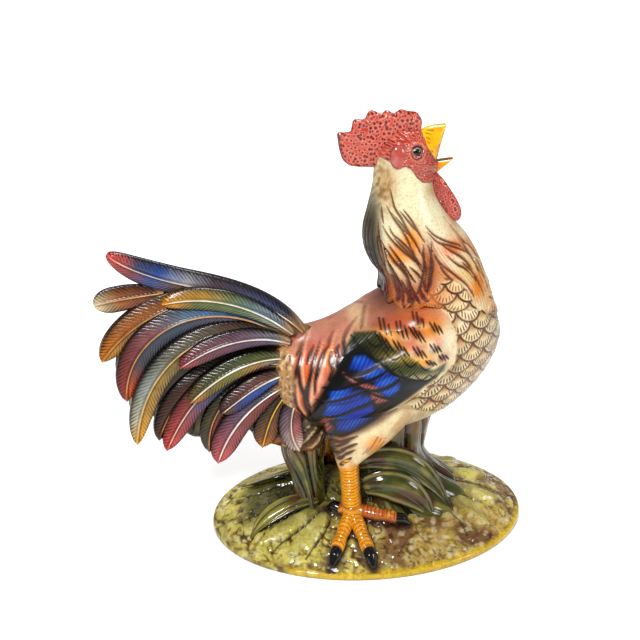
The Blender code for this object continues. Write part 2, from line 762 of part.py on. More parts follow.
def clump_cavity(sections):
    """Inside of a hollow clump, open at the mound and at the belly."""
    inset = WALL + TUFT_FURROW
    inner = [(z, back + inset, front - inset, half - inset) for z, back, front, half in sections]
    low = (inner[0][0] - WALL, *inner[0][1:])
    high = (inner[-1][0] + WALL, *inner[-1][1:])
    sides = 2 * TUFT_LEAVES
    return loft("clump_cavity", [level_ring(*section, sides) for section in (low, *inner[2:-1:2], high)])


def make_grass(base_form, torso_form, tail_form, legs):
    """Two clumps that carry the belly and the tail root, with arching blades on them."""
    green = glaze("glazed_grass", "4E5A24")
    clumps = []
    for name, sections in (("tuft_front", TUFT_FRONT), ("tuft_rear", TUFT_REAR)):
        form = loft(name + "_form", [furrowed(level_ring(*section, 2 * TUFT_LEAVES)) for section in sections])
        whole = new_object(name + "_whole", form.data.copy())
        cavity = clump_cavity(sections)
        combine(form, [cavity], "DIFFERENCE")
        bpy.data.objects.remove(cavity)
        mirrored_legs = [new_object("leg_mirror", mirrored(leg.data)) for leg in legs]
        seat(form, base_form, torso_form, tail_form, *legs, *mirrored_legs, *clumps)
        finish(name, form.data.copy(), green)
        clumps.append(whole)
    for name, *shape in BLADES:
        form = blade(name.format("form"), *shape)
        seat(form, base_form, torso_form, tail_form, *legs, *clumps)
        finish_pair(name, form, green)


def tail_point(x, z, layers=0.0, clearance=0.0):
    """Point on a layer of the right half of the tail."""
    out = TAIL_HALF + TAIL_TAPER * (x - TAIL_X) - TAIL_LEAN * (z - TAIL_Z) + LAYER * layers
    rise = min(max((z - TAIL_PINCH_LOW) / (TAIL_PINCH_HIGH - TAIL_PINCH_LOW), 0), 1)
    behind = max(TAIL_X - x, 0) / TAIL_PINCH_RUN
    drawn_in = out * TAIL_PINCH * rise * math.exp(-behind ** 2)
    return Vector((x, clearance - out + drawn_in, z - drawn_in * TAIL_SINK))


def wedge_hollow():
    """Inside of the wedge, as a loft from its rear end to its front end."""
    rings = []
    for i in range(HOLLOW_STATIONS):
        x = HOLLOW_REAR + (HOLLOW_FRONT - HOLLOW_REAR) * i / (HOLLOW_STATIONS - 1)
        edge = zip(TAIL_CORE, [*TAIL_CORE[1:], TAIL_CORE[0]])
        levels = [z0 + (z1 - z0) * (x - x0) / (x1 - x0) for (x0, z0), (x1, z1) in edge if (x0 > x) != (x1 > x)]
        least = TAIL_Z + (TAIL_HALF + TAIL_TAPER * (x - TAIL_X) - WALL - HOLLOW_LEAST) / TAIL_LEAN
        bottom = min(levels) + 2 * WALL
        top = max(bottom + WALL, min(max(levels) - 2 * WALL, least))
        right = [tail_point(x, bottom + (top - bottom) * share, clearance=WALL) for share in (0, 0.35, 0.7, 1)]
        left = [Vector((point.x, -point.y, point.z)) for point in reversed(right)]
        rings.append([*right, *left])
    return loft("wedge_hollow", rings)


def make_tail_core(torso_form):
    """Wedge between the two sides of the tail, with the coverts that hang under the rump."""
    form = plate("tail_core_form", TAIL_CORE, 2 * TAIL_HALF, TAIL_CORE_ROUND, edge_steps=0)
    for vert in form.data.vertices:
        side = tail_point(vert.co.x, vert.co.z, clearance=2 * GAP)
        share = -vert.co.y / TAIL_HALF
        vert.co = (side.x, side.y * share, vert.co.z + (side.z - vert.co.z) * abs(share))
    whole = new_object("tail_core_whole", form.data.copy())
    cavity = wedge_hollow()
    combine(form, [cavity], "DIFFERENCE")
    bpy.data.objects.remove(cavity)
    seat(form, torso_form)
    finish("tail_core", form.data.copy(), glaze("glazed_tail_core", "6B4A2C"))
    return whole


def quill_path(x, z, heading, turn, slackening, length, count):
    """Points and headings along a feather's quill, with a root in the rump before it."""
    points = [Vector((x + FEATHER_ROOT, z - FEATHER_DIVE * (z - TAIL_PINCH_LOW)))]
    angles = [math.pi]
    place = Vector((x, z))
    steps = 8
    for i in range(count):
        points.append(place.copy())
        angles.append(math.radians(heading + turn * i / (count - 1) + slackening * (i / (count - 1)) ** 2))
        for j in range(steps):
            share = (i + (j + 0.5) / steps) / (count - 1)
            angle = math.radians(heading + turn * share + slackening * share ** 2)
            place += Vector((math.cos(angle), math.sin(angle))) * length / (count - 1) / steps
    return points, angles


def vane(share):
    """Width of a feather along its length, as a share of its full width."""
    swell = 0.34 + 0.66 * math.sin(math.pi / 2 * min(share / 0.62, 1))
    if share > 0.72:
        swell *= math.sqrt(max(1 - ((share - 0.72) / 0.285) ** 2, 0))
    return swell


def side_feather(name, layer, x, z, heading, turn, slackening, length, width):
    """Feather of the right side: flat inside, with a raised quill and falling barbs outside."""
    points, angles = quill_path(x, z, heading, turn, slackening, length, FEATHER_STATIONS)
    section = ((-1, 0), (-1, FEATHER_EDGE), (-0.5, 0.72), (0, 1), (0.5, 0.72), (1, FEATHER_EDGE), (1, 0))
    rings = []
    for i, (place, angle) in enumerate(zip(points, angles)):
        half = width / 2 * vane(max(i - 1, 0) / (FEATHER_STATIONS - 1))
        side = Vector((-math.sin(angle), math.cos(angle)))
        ring = []
        for across, height in section:
            spot = place + side * half * across
            inner = tail_point(spot.x, spot.y, layer - 1)
            outer = tail_point(spot.x, spot.y, layer, GAP)
            ring.append(inner.lerp(outer, height))
        rings.append(ring)
    return loft(name, rings)


def middle_feather(name, shape, half_thickness):
    """Thick feather on the middle plane, with a quill on both faces."""
    points, angles = quill_path(*shape[:6], FEATHER_STATIONS)
    rings = []
    for i, (place, angle) in enumerate(zip(points, angles)):
        share = max(i - 1, 0) / (FEATHER_STATIONS - 1)
        half = shape[6] / 2 * vane(share)
        thick = half_thickness[0] + (half_thickness[1] - half_thickness[0]) * min(share / 0.8, 1)
        side = Vector((-math.sin(angle), math.cos(angle)))
        centre = Vector((place.x, 0, place.y))
        along = Vector((side.x, 0, side.y)) * half
        rings.append(ellipse(centre, Vector((0, thick * min(1, half / 0.006), 0)), along, 10, math.pi / 2))
    return loft(name, rings)


def make_tail(torso_form, core_form):
    """Crest sickle and stub on the middle plane, then thirteen feathers a side in four layers."""
    crest = middle_feather("crest_form", CREST_SICKLE, CREST_HALF)
    whole_crest = new_object("crest_whole", crest.data.copy())
    seat(crest, torso_form, core_form)
    finish("sickle_crest", crest.data.copy(), glaze("glazed_crest_sickle", "B56A78"))
    stub = middle_feather("stub_form", REAR_STUB, STUB_HALF)
    whole_stub = new_object("stub_whole", stub.data.copy())
    seat(stub, whole_crest, core_form)
    finish("sickle_stub", stub.data.copy(), glaze("glazed_stub", "C8873A"))
    colours = ["8E9B62", "8C5C78", "9A8A3C", "3C5AA8", "B0722E", "4A6A96", "9AA08A", "5A3A28", "C05A5A",
               "3E3A2C", "B06A7C", "8A5A30", "D8B8A8"]
    for colour, (name, layer, *shape) in zip(colours, FEATHERS):
        form = side_feather(name.format("form"), layer, *shape)
        seat(form, torso_form, whole_crest, whole_stub)
        finish_pair(name, form, glaze("glazed_" + name.format("feather"), colour))


def stand_in_the_middle():
    """Moves the bird along X until the origin is under the middle of its length."""
    ends = [vert.co.x for piece in BIRD.objects for vert in piece.data.vertices]
    middle = (min(ends) + max(ends)) / 2
    for piece in BIRD.objects:
        piece.location.x -= middle


def main():
    for leftover in list(bpy.data.objects):
        bpy.data.objects.remove(leftover)
    bpy.context.scene.collection.children.link(BIRD)
    bpy.context.scene.collection.children.link(CUTTERS)
    base_form = make_base()
    torso_form = make_torso()
    cape_form = make_cape(torso_form)
    head_form = make_head()
    comb_form = make_comb(head_form, cape_form)
    lower_beak = make_beak(head_form, cape_form, comb_form)
    make_eyes_and_lobes(head_form, cape_form)
    make_wattles([head_form, cape_form, lower_beak])
    wing_form = make_wings(torso_form, cape_form)
    legs = make_legs(base_form, torso_form, wing_form)
    core_form = make_tail_core(torso_form)
    make_grass(base_form, torso_form, core_form, legs)
    make_tail(torso_form, core_form)
    stand_in_the_middle()


main()
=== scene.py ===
import math

import bpy
import numpy as np
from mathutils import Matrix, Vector, noise


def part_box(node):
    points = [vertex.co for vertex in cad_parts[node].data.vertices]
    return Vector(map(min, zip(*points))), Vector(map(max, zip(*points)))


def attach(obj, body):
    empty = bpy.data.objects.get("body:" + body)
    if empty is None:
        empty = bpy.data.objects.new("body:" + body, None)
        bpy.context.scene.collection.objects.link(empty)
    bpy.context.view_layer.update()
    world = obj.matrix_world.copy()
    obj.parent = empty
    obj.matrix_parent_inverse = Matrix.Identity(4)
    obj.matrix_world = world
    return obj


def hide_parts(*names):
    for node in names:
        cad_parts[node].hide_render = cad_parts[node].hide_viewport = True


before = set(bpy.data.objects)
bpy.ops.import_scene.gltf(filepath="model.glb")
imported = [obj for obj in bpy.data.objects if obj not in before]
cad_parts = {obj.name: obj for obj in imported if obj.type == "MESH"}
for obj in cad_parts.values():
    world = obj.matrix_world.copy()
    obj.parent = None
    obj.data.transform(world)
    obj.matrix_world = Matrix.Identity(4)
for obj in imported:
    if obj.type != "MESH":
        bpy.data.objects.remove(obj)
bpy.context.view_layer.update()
bpy.ops.object.select_all(action="DESELECT")

# The camera
# The photograph looks down on the bird's right side, a little from the tail. Lengths are in millimetres.
CAMERA_AIM = Vector((0.4, 0.0, 210.5))
CAMERA_TURN = math.radians(-9.5)
CAMERA_RISE = math.radians(24)
CAMERA_DISTANCE = 1000.0
CAMERA_LENS = 62.4
MM = 0.001

towards_camera = Vector((math.sin(CAMERA_TURN) * math.cos(CAMERA_RISE),
                         -math.cos(CAMERA_TURN) * math.cos(CAMERA_RISE), math.sin(CAMERA_RISE)))
bpy.ops.object.camera_add(location=(CAMERA_AIM + towards_camera * CAMERA_DISTANCE) * MM,
                          rotation=towards_camera.to_track_quat("Z", "Y").to_euler())
camera = bpy.context.object
camera.data.lens = CAMERA_LENS
bpy.context.scene.camera = camera
bpy.context.scene.view_settings.view_transform = "Standard"

# The mound
# A slip-cast oval shell, open below, on its foot rim. Its top has a sponged relief and long leaves lying on
# it, in which green, ochre and brown glazes pool. Shade is painted on it round the clumps' feet and under
# the tail. The inside is bare clay.
MOUND_LENGTH = 302.0
MOUND_WIDTH = 216.0
MOUND_X = 46.0
MOUND_RIM = 5.7
MOUND_RISE = 36.0
MOUND_WALL = 5.5
# Section from the crown over the rim to the inside: share of the way, reach outwards, height
MOUND_TOP = 0.68
MOUND_INSIDE = 0.74
RIM_SECTION = [(0, 0, 0), (MOUND_TOP, 0.994, 6.0), (0.69, 1.0, 4.9), (0.70, 1.0, 0.9), (0.71, 0.994, 0),
               (0.725, 0.972, 0), (MOUND_INSIDE, 0.963, 1.2), (1, 0, 1.2)]
LUMP_HEIGHT = 1.5
SPONGE_HEIGHT = 1.3
CREVICE_DEPTH = 1.2
LYING_LEAF_RISE = 2.4
FURROW_DEPTH = 1.6
SWEPT_RISE = 2.6
SWEPT_LEAVES = 17
# Where dark glaze pools round the toes: x and y on the right half
TOE_POOLS = [[(20, -50), (6, -74), (-7, -96)], [(20, -50), (26, -76), (31, -101)],
             [(20, -50), (46, -58), (70, -65)], [(20, -50), (8, -42), (-1, -37)]]
# The leaves lying on the mound, and the furrows between them: x and y on the right half
LYING_LEAVES = [
    [(-14, -16), (-36, -22), (-56, -26), (-80, -30)], [(-8, -30), (-26, -40), (-44, -46), (-66, -52)],
    [(-2, -40), (-14, -54), (-26, -62), (-42, -74)], [(100, -22), (122, -32), (140, -46), (150, -60)],
    [(110, -6), (132, -12), (154, -18), (172, -22)],
]
FURROWS = [
    [(-12, -10), (-34, -14), (-58, -16), (-86, -18)], [(-10, -24), (-32, -31), (-52, -36), (-76, -42)],
    [(-4, -36), (-20, -48), (-36, -55), (-56, -64)], [(2, -46), (-6, -60), (-16, -70), (-28, -82)],
    [(106, -14), (130, -22), (148, -32), (164, -40)], [(96, -30), (112, -46), (122, -62), (126, -78)],
    [(114, 0), (136, -2), (156, -4), (176, -6)],
]
BIRD_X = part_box("base_mound")[0][0] / MM + MOUND_LENGTH / 2 - MOUND_X
FULL_TURN = 2 * math.pi
GLAZE_IOR = 1.5
CLAY_SHEEN = 0.15
RIPPLE_HEIGHT = 0.0002
GLAZE_DEEPENS = 1.16


def linear(colour):
    """sRGB hex digits as three linear values."""
    channels = np.array([int(colour[i:i + 2], 16) / 255 for i in (0, 2, 4)])
    return np.where(channels <= 0.04045, channels / 12.92, ((channels + 0.055) / 1.055) ** 2.4)


def add(tree, kind, links=(), **settings):
    """Adds a shader node, sets its properties and sockets, and links its inputs."""
    node = tree.nodes.new(kind)
    for name, value in settings.items():
        if hasattr(node, name):
            setattr(node, name, value)
        else:
            node.inputs[name.replace("_", " ")].default_value = value
    for socket, source in links:
        tree.links.new(source, node.inputs[socket])
    return node


def darken(tree, paint, factor):
    """Adds a node that multiplies a second colour into the paint, as a stain does, and returns it."""
    links = [("Factor", factor)] if factor else ()
    node = add(tree, "ShaderNodeMix", links, data_type="RGBA", blend_type="MULTIPLY")
    tree.links.new(paint, node.inputs["A"])
    return node


def glazed(name, roughness=0.3, coat=1.0, gloss=0.05, mottle=9.0, amount=0.12, ripple=0.35, ripple_size=3.5,
           speckle=None, lines=None, groove=0.0):
    """Clear glaze over painted earthenware: colour from the piece's brushwork, cloudy at a real scale.

    mottle is the size of the clouds in the colour and amount their strength; ripple is the strength of the
    waves in the glaze and ripple_size their size. speckle is the colour, the size and the share of sponged
    spots. lines are brush lines: their colour, and from where to where in the wave they darken. groove is how
    deep they are pressed.
    """
    material = bpy.data.materials.new(name)
    material.use_nodes = True
    tree = material.node_tree
    shader = tree.nodes["Principled BSDF"]
    for socket, value in (("Roughness", roughness), ("IOR", GLAZE_IOR), ("Specular IOR Level", CLAY_SHEEN),
                          ("Coat Weight", coat), ("Coat Roughness", gloss), ("Coat IOR", GLAZE_IOR)):
        shader.inputs[socket].default_value = value
    place = [("Vector", add(tree, "ShaderNodeTexCoord").outputs["Object"])]
    cloud = add(tree, "ShaderNodeTexNoise", place, Scale=1 / (mottle * MM), Detail=5.0, Roughness=0.6)
    level = add(tree, "ShaderNodeMapRange", [("Value", cloud.outputs["Fac"])],
                From_Min=0.3, From_Max=0.7, To_Min=1 - amount, To_Max=1 + amount * 0.7)
    clouded = darken(tree, add(tree, "ShaderNodeAttribute", attribute_name="paint").outputs["Color"], None)
    clouded.inputs["Factor"].default_value = 1.0
    tree.links.new(level.outputs["Result"], clouded.inputs["B"])
    painted = clouded.outputs["Result"]
    if speckle:
        colour, size, share = speckle
        spots = add(tree, "ShaderNodeTexNoise", place, Scale=1 / (size * MM), Detail=3.0, Roughness=0.7)
        cover = add(tree, "ShaderNodeMapRange", [("Value", spots.outputs["Fac"])],
                    From_Min=0.5, From_Max=0.62, To_Min=0.0, To_Max=share)
        sponged = darken(tree, painted, cover.outputs["Result"])
        sponged.inputs["B"].default_value = (*linear(colour), 1)
        painted = sponged.outputs["Result"]
    ripples = add(tree, "ShaderNodeTexNoise", place, Scale=1 / (ripple_size * MM), Detail=2.0)
    relief = ripples.outputs["Fac"]
    if lines:
        colour, low, high = lines
        phase = add(tree, "ShaderNodeAttribute", attribute_name="line")
        ink = add(tree, "ShaderNodeAttribute", attribute_name="ink")
        turn = add(tree, "ShaderNodeMath", [(0, phase.outputs["Fac"])], operation="MULTIPLY")
        turn.inputs[1].default_value = FULL_TURN
        wave = add(tree, "ShaderNodeMath", [(0, turn.outputs["Value"])], operation="COSINE")
        drawn = add(tree, "ShaderNodeMapRange",
                    [("Value", wave.outputs["Value"]), ("To Max", ink.outputs["Fac"])],
                    From_Min=low, From_Max=high, To_Min=0.0)
        inked = darken(tree, painted, drawn.outputs["Result"])
        inked.inputs["B"].default_value = (*linear(colour), 1)
        painted = inked.outputs["Result"]
        height = add(tree, "ShaderNodeMath", [(0, drawn.outputs["Result"])], operation="MULTIPLY")
        height.inputs[1].default_value = -groove
        relief = add(tree, "ShaderNodeMath", [(0, relief), (1, height.outputs["Value"])]).outputs["Value"]
    tree.links.new(painted, shader.inputs["Base Color"])
    bump = add(tree, "ShaderNodeBump", [("Height", relief)], Strength=ripple, Distance=RIPPLE_HEIGHT)
    tree.links.new(bump.outputs["Normal"], shader.inputs["Normal"])
    tree.links.new(bump.outputs["Normal"], shader.inputs["Coat Normal"])
    return material


def places(piece):
    """Vertex places, in the mesh's own unit."""
    flat = np.empty(3 * len(piece.data.vertices))
    piece.data.vertices.foreach_get("co", flat)
    return flat.reshape(-1, 3)


def ball_grid(name, around, along):
    """Grid rolled into a ball, to be shaped: returns it with each vertex's share along and around it."""
    bpy.ops.mesh.primitive_grid_add(x_subdivisions=around, y_subdivisions=along, size=2)
    piece = bpy.context.object
    piece.name = piece.data.name = name
    flat = places(piece)
    turn = math.pi * (flat[:, 0] + 1)
    down = math.pi * (flat[:, 1] + 1) / 2
    ball = np.column_stack([np.sin(down) * np.cos(turn), np.sin(down) * np.sin(turn), np.cos(down)])
    piece.data.vertices.foreach_set("co", ball.ravel())
    piece.modifiers.new("seam", "WELD").merge_threshold = 0.00001
    bpy.ops.object.modifier_apply(modifier="seam")
    ball = places(piece)
    share = np.arccos(np.clip(ball[:, 2], -1, 1)) / math.pi
    turned = np.arctan2(ball[:, 1], ball[:, 0]) / FULL_TURN % 1
    piece.select_set(False)
    return piece, share, turned


def shape(piece, points, depth=None):
    """Puts the vertices at places in millimetres on the bird, and turns the faces outwards.

    With a depth, every vertex then moves out along its normal by that many millimetres.
    """
    mesh = piece.data
    placed = points + (BIRD_X, 0, 0)
    mesh.vertices.foreach_set("co", (placed * MM).ravel())
    mesh.update()
    starts = np.empty(len(mesh.polygons), dtype=np.int32)
    mesh.polygons.foreach_get("loop_start", starts)
    corners = np.empty(len(mesh.loops), dtype=np.int32)
    mesh.loops.foreach_get("vertex_index", corners)
    a, b, c = (placed[corners[starts + i]] for i in range(3))
    if np.einsum("ij,ij->i", a, np.cross(b, c)).sum() < 0:
        mesh.flip_normals()
    mesh.shade_smooth()
    if depth is not None:
        normals = np.empty(3 * len(mesh.vertices))
        mesh.vertex_normals.foreach_get("vector", normals)
        carved = points + normals.reshape(-1, 3) * depth[:, None]
        mesh.vertices.foreach_set("co", ((carved + (BIRD_X, 0, 0)) * MM).ravel())
        mesh.update()


def brush(piece, colours, line=None, ink=None):
    """Stores the brushwork on the mesh: each vertex's linear colour, and its place in rows of brush lines."""
    deep = np.clip(colours, 0, 1) ** GLAZE_DEEPENS
    store = piece.data.attributes.new("paint", "FLOAT_COLOR", "POINT")
    store.data.foreach_set("color", np.column_stack([deep, np.ones(len(colours))]).ravel())
    for name, values in (("line", line), ("ink", ink)):
        if values is not None:
            piece.data.attributes.new(name, "FLOAT", "POINT").data.foreach_set("value", values)


def fit(piece, material, slot, *nodes):
    """Gives the piece its glaze, and puts it in the place of these solids."""
    piece.data.materials.append(material)
    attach(piece, "root")
    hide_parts(*nodes)


def step(value, low, high):
    """Smooth rise from 0 to 1 between two values."""
    t = np.clip((value - low) / (high - low), 0, 1)
    return t * t * (3 - 2 * t)


def hill(value, middle, reach):
    """Soft ridge that is 1 at its middle and fades over its reach."""
    return np.exp(-((value - middle) / reach) ** 2)


def mix(under, over, amount):
    """Colours over colours, by an amount from 0 to 1 for each vertex."""
    return under + (over - under) * amount[:, None]


def coats(paint, *layers):
    """Lays coats over a paint: each is hex digits and its amount. A paint can also be hex digits."""
    if isinstance(paint, str):
        paint = np.tile(linear(paint), (len(layers[0][1]), 1))
    for colour, amount in layers:
        paint = mix(paint, linear(colour), amount)
    return paint


def grain(points, size, seed=0.0):
    """Cloudy variation from -1 to 1 with a real size in millimetres."""
    return np.array([noise.noise(Vector(place)) for place in points / size + seed])


def through(rows, place):
    """Rows of a table read between its entries along a smooth curve. place runs from 0 to 1."""
    rows = np.asarray(rows, float)
    spot = np.clip(place, 0, 1) * (len(rows) - 1)
    i = np.minimum(spot.astype(int), len(rows) - 2)
    t = (spot - i)[:, None]
    padded = np.vstack([2 * rows[0] - rows[1], rows, 2 * rows[-1] - rows[-2]])
    before, start, end, after = (padded[i + k] for k in range(4))
    bend = 2 * before - 5 * start + 4 * end - after + t * (3 * (start - end) + after - before)
    return start + 0.5 * t * (end - before + t * bend)


def strokes(points, lines, width, blunt=0.25):
    """How deep each place lies in tapering strokes of a brush or tool, from 0 to 1."""
    depth = np.zeros(len(points))
    for line in lines:
        count = 4 * (len(line) - 1)
        line = through(line, np.linspace(0, 1, count + 1))
        near = np.flatnonzero(((points > line.min(0) - width) & (points < line.max(0) + width)).all(1))
        spots = points[near]
        best = np.zeros(len(near))
        for i in range(count):
            run = line[i + 1] - line[i]
            t = np.clip(((spots - line[i]) @ run) / (run @ run), 0, 1)
            gap = np.linalg.norm(spots - line[i] - t[:, None] * run, axis=1)
            taper = blunt + (1 - blunt) * np.clip(np.sin(math.pi * (i + t) / count), 0, 1) ** 0.7
            best = np.maximum(best, 1 - step(gap / (width / 2 * taper), 0.5, 1.15))
        depth[near] = np.maximum(depth[near], best)
    return depth


def ground(x, y):
    """Height of the mound's skin."""
    inside = np.clip(1 - ((x - MOUND_X) / (MOUND_LENGTH / 2)) ** 2 - (y / (MOUND_WIDTH / 2)) ** 2, 0, 1)
    return MOUND_RIM + MOUND_RISE * inside ** 1.07


# Glossy, but with a fine orange-peel ripple and brown sponge spots that break up its highlights
sponged_glaze = glazed("sponged_green_glaze", roughness=0.3, mottle=6.0, amount=0.15, ripple=0.9,
                       ripple_size=2.4, speckle=("9A7440", 2.4, 0.4))
piece, share, turned = ball_grid("mound", 440, 210)
marks, reaches, heights = zip(*RIM_SECTION)
reach = np.interp(share, marks, reaches)
x = MOUND_X + MOUND_LENGTH / 2 * reach * np.cos(FULL_TURN * turned)
y = MOUND_WIDTH / 2 * reach * np.sin(FULL_TURN * turned)
z = np.where(share < MOUND_TOP, ground(x, y), np.interp(share, marks, heights))
z = np.where(share > MOUND_INSIDE, np.maximum(ground(x, y) - MOUND_WALL, heights[-1]), z)
points = np.column_stack([x, y, z])
top = 1 - step(share, 0.655, MOUND_TOP)
lumps = grain(points, 6.5, 3)
sponge = grain(points, 4.2) * 0.6 + grain(points, 2.2, 7) * 0.4
crevice = 1 - step(np.abs(grain(points * (1, 0.7, 1), 6.0, 5)), 0.05, 0.2)
crevice = crevice * step(grain(points, 9, 17), -0.25, 0.15)
flat_right = np.column_stack([x, -np.abs(y)])
leaf = strokes(flat_right, LYING_LEAVES, 20.0, 0.1)
furrow = strokes(flat_right, FURROWS, 3.4, 0.2)
around_clumps = np.hypot((x - 82) / 74, y / 72)
swept = step(around_clumps, 0.6, 0.95) * (1 - step(around_clumps, 1.05, 1.45)) * step(x, 60, 110)
sweep = np.arctan2(y, x - 52) / math.pi * SWEPT_LEAVES
swept_ridge = swept * (0.5 + 0.5 * np.cos(FULL_TURN * sweep))
rough = (1 - 0.75 * leaf) * (1 - 0.6 * swept)
shape(piece, points, top * ((lumps * LUMP_HEIGHT + sponge * SPONGE_HEIGHT - crevice * CREVICE_DEPTH) * rough
                            + leaf * LYING_LEAF_RISE - furrow * FURROW_DEPTH + swept_ridge * SWEPT_RISE))
# Painted shade: the mound is darker round the foot of each clump, and darkest under the tail
near_rear = np.hypot((x + 8) / 50, y / 66)
near_front = np.hypot((x - 82) / 76, y / 76)
near_clumps = 1 - step(np.minimum(near_rear, near_front) + 0.14 * grain(points, 10, 5), 0.55, 0.92)
shade_under_tail = 1 - step(np.hypot((x + 44) / 40, y / 46) + 0.12 * grain(points, 12, 8), 0.6, 1.1)
rim = step(share + 0.012 * grain(points, 12, 61), 0.648, 0.682) * (1 - step(share, 0.705, 0.715))
pooled = strokes(flat_right, TOE_POOLS, 30.0, 0.6) * step(share, 0, 0.01) * (share < MOUND_TOP)
close = strokes(flat_right, TOE_POOLS, 17.0, 0.7) * (share < MOUND_TOP)
brush(piece, coats(
    "DED274", ("B8B050", 0.7 * step(grain(points, 16, 3), 0.0, 0.5)),
    ("E6DFA0", 0.8 * step(grain(points, 11, 11), 0.0, 0.45)),
    ("7A4E1E", 0.7 * step(-(lumps + sponge), 0.1, 0.7) * (1 - 0.7 * leaf)),
    ("A8783C", 0.55 * step(x + 24 * grain(points, 22, 51), 10, 60) * step(-y, 10, 60)),
    ("6E4030", 0.75 * step(grain(points, 24, 31) + 0.25, 0.0, 0.4) * step(x, 10, 60)),
    ("DCD0A0", 0.7 * step(grain(points, 7, 33), 0.1, 0.35) * step(x, 20, 80)),
    ("4A2A10", 0.9 * crevice * rough),
    # Painted shade round the clumps' feet and under the tail
    ("4A4A1C", 0.75 * near_clumps), ("9C9A48", 0.7 * near_clumps * step(sponge + swept_ridge, 0.1, 0.9)),
    ("C8C06C", 0.6 * leaf * (1 - near_clumps)), ("3A2A10", 0.85 * furrow), ("2A2C12", 0.75 * shade_under_tail),
    ("7A5A24", 0.6 * rim * step(grain(points, 9, 22), -0.3, 0.2)),
    ("ECCB30", 0.8 * rim * step(np.abs(y) + 0.25 * (x - 40) + 22 * grain(points, 17, 23), 48, 84)),
    ("5A3A16", 0.75 * step(share, 0.695, 0.71) * (1 - step(share, 0.715, 0.72))),
    ("6A4634", 0.6 * pooled * step(grain(points, 9, 40) + pooled, 0.1, 0.9)), ("3A2220", 0.8 * close),
    ("D8C4A4", step(share, 0.72, 0.73))))
fit(piece, sponged_glaze, "mound", "base_mound")

# The grass
# Two hollow clumps of thick leaves prop the belly and the tail, with arching leaves luted over them. All are
# fluted with a tool, and dipped in dark green glaze over brown.
# Rows of a clump: height, rear end, front end, half width
CLUMPS = {
    "tuft_front": [(8, 12, 153, 70), (18, 17, 147, 66), (32, 22, 137, 58), (45, 26, 121, 48),
                   (58, 29, 109, 42), (74, 32, 101, 36), (92, 34, 103, 31), (110, 36, 106, 27),
                   (125, 40, 98, 22)],
    "tuft_rear": [(8, -30, 10, 46), (18, -28, 8, 44), (36, -29, 4, 37), (54, -32, 3, 33), (72, -37, 3, 30),
                  (88, -40, 4, 27), (104, -36, 4, 23)],
}
# Leaves round half a clump, and how far they sweep about it
CLUMP_LEAVES = {"tuft_front": (4.0, 1.6), "tuft_rear": (3.5, 1.3)}
FLUTE_DEPTH = 4.6
FLUTE_SPLAY = 2.0
VEIN_DEPTH = 0.9
# Guide points of each leaf's middle, the way it faces, its width and thickness
LEAVES = {
    "blade_rear_{}": ([(-6, 30, 40), (-40, 22, 38), (-62, 28, 24), (-74, 46, 14)], (0, -0.4, 0.9), 20, 9),
    "blade_front_{}": ([(28, 30, 76), (64, 40, 95), (96, 45, 71), (116, 46, 28)], (0, -1, 0.2), 28, 10),
    "blade_low_{}": ([(32, 40, 56), (60, 50, 70), (86, 54, 50), (100, 56, 20)], (0, -1, 0.3), 32, 10),
}
FOLD_DEPTH = 1.8
VEIN_SPACING = 2.6
SIDES = (("right", 1), ("left", -1))


def unit(vectors):
    """Vectors at a length of 1."""
    return vectors / np.linalg.norm(vectors, axis=1)[:, None]


def bezier(points, share):
    """Places along the curve that four guide points draw."""
    a, b, c, d = (np.array(point, float) for point in points)
    t = share[:, None]
    return a * (1 - t) ** 3 + 3 * b * t * (1 - t) ** 2 + 3 * c * t * t * (1 - t) + d * t ** 3


def closed(share, start, end):
    """Rounds off both ends of a lofted piece: 0 at its poles, 1 from these shares of its length."""
    return np.sqrt(np.clip(np.minimum(share / start, (1 - share) / end), 0, 1))


def quarter_round(share):
    """Rise along a quarter of a circle, from 0 to 1."""
    return np.sqrt(np.clip(1 - (1 - np.clip(share, 0, 1)) ** 2, 0, 1))


def grass_colours(points, ridge, light=0.0):
    """Green glaze with brown showing through: thin and ochre on the ridges, lightened there as a painted
    highlight (light widens it), and black in the flutes as painted shade.
    """
    return coats("56541F", ("A0944A", 0.65 * step(ridge + light, 0.8, 1.08)),
                 ("5A3616", 0.85 * step(grain(points, 19, 2), 0.0, 0.35)),
                 ("4A5428", 0.7 * step(grain(points, 15, 8), 0.1, 0.4)),
                 ("0E0A04", 0.97 * (1 - step(ridge, 0.20, 0.60))))


# Wet, deep gloss; cloudy, as the green runs thin and thick over the brown, with fine pressed veins
grass_glaze = glazed("green_glaze_over_brown", roughness=0.2, mottle=8.0, amount=0.25, ripple=0.4,
                     lines=("3A3010", 0.2, 0.9), groove=0.8)
for name, rows in CLUMPS.items():
    piece, share, turned = ball_grid("clump_" + name, 290, 160)
    closing = quarter_round(share / 0.05) * (1 - step(share, 0.98, 1.0))
    z, back, front, half = through(rows[::-1], np.clip((share - 0.03) / 0.95, 0, 1)).T
    angle = FULL_TURN * turned
    leaves, swept = CLUMP_LEAVES[name]
    from_front = np.minimum(turned, 1 - turned) * 2
    across = from_front * leaves + swept * share ** 1.5 + 0.12 * np.sin(7 * share + 4 * angle)
    ridge = np.abs(np.sin(math.pi * across)) ** 0.6
    vein = np.abs(np.sin(math.pi * across * 3 + 0.5)) ** 0.5
    splayed = step(share, 0.82, 0.93)
    points = np.column_stack([(back + front) / 2 + (front - back) / 2 * closing * np.cos(angle),
                              half * closing * np.sin(angle), z])
    flutes = (ridge - 1) * (FLUTE_DEPTH + FLUTE_SPLAY * splayed) + (vein - 1) * VEIN_DEPTH
    shape(piece, points, closing * (flutes + grain(points, 20, 4) * 1.2))
    paint = grass_colours(points, ridge * (0.75 + 0.25 * vein), 0.2 * splayed)
    paint = coats(paint, ("A8702C", 0.7 * (1 - step(share, 0.08, 0.34)) * step(ridge, 0.2, 0.7)))
    brush(piece, paint, across * 3.0, 0.2 * ridge)
    fit(piece, grass_glaze, "grass", name)
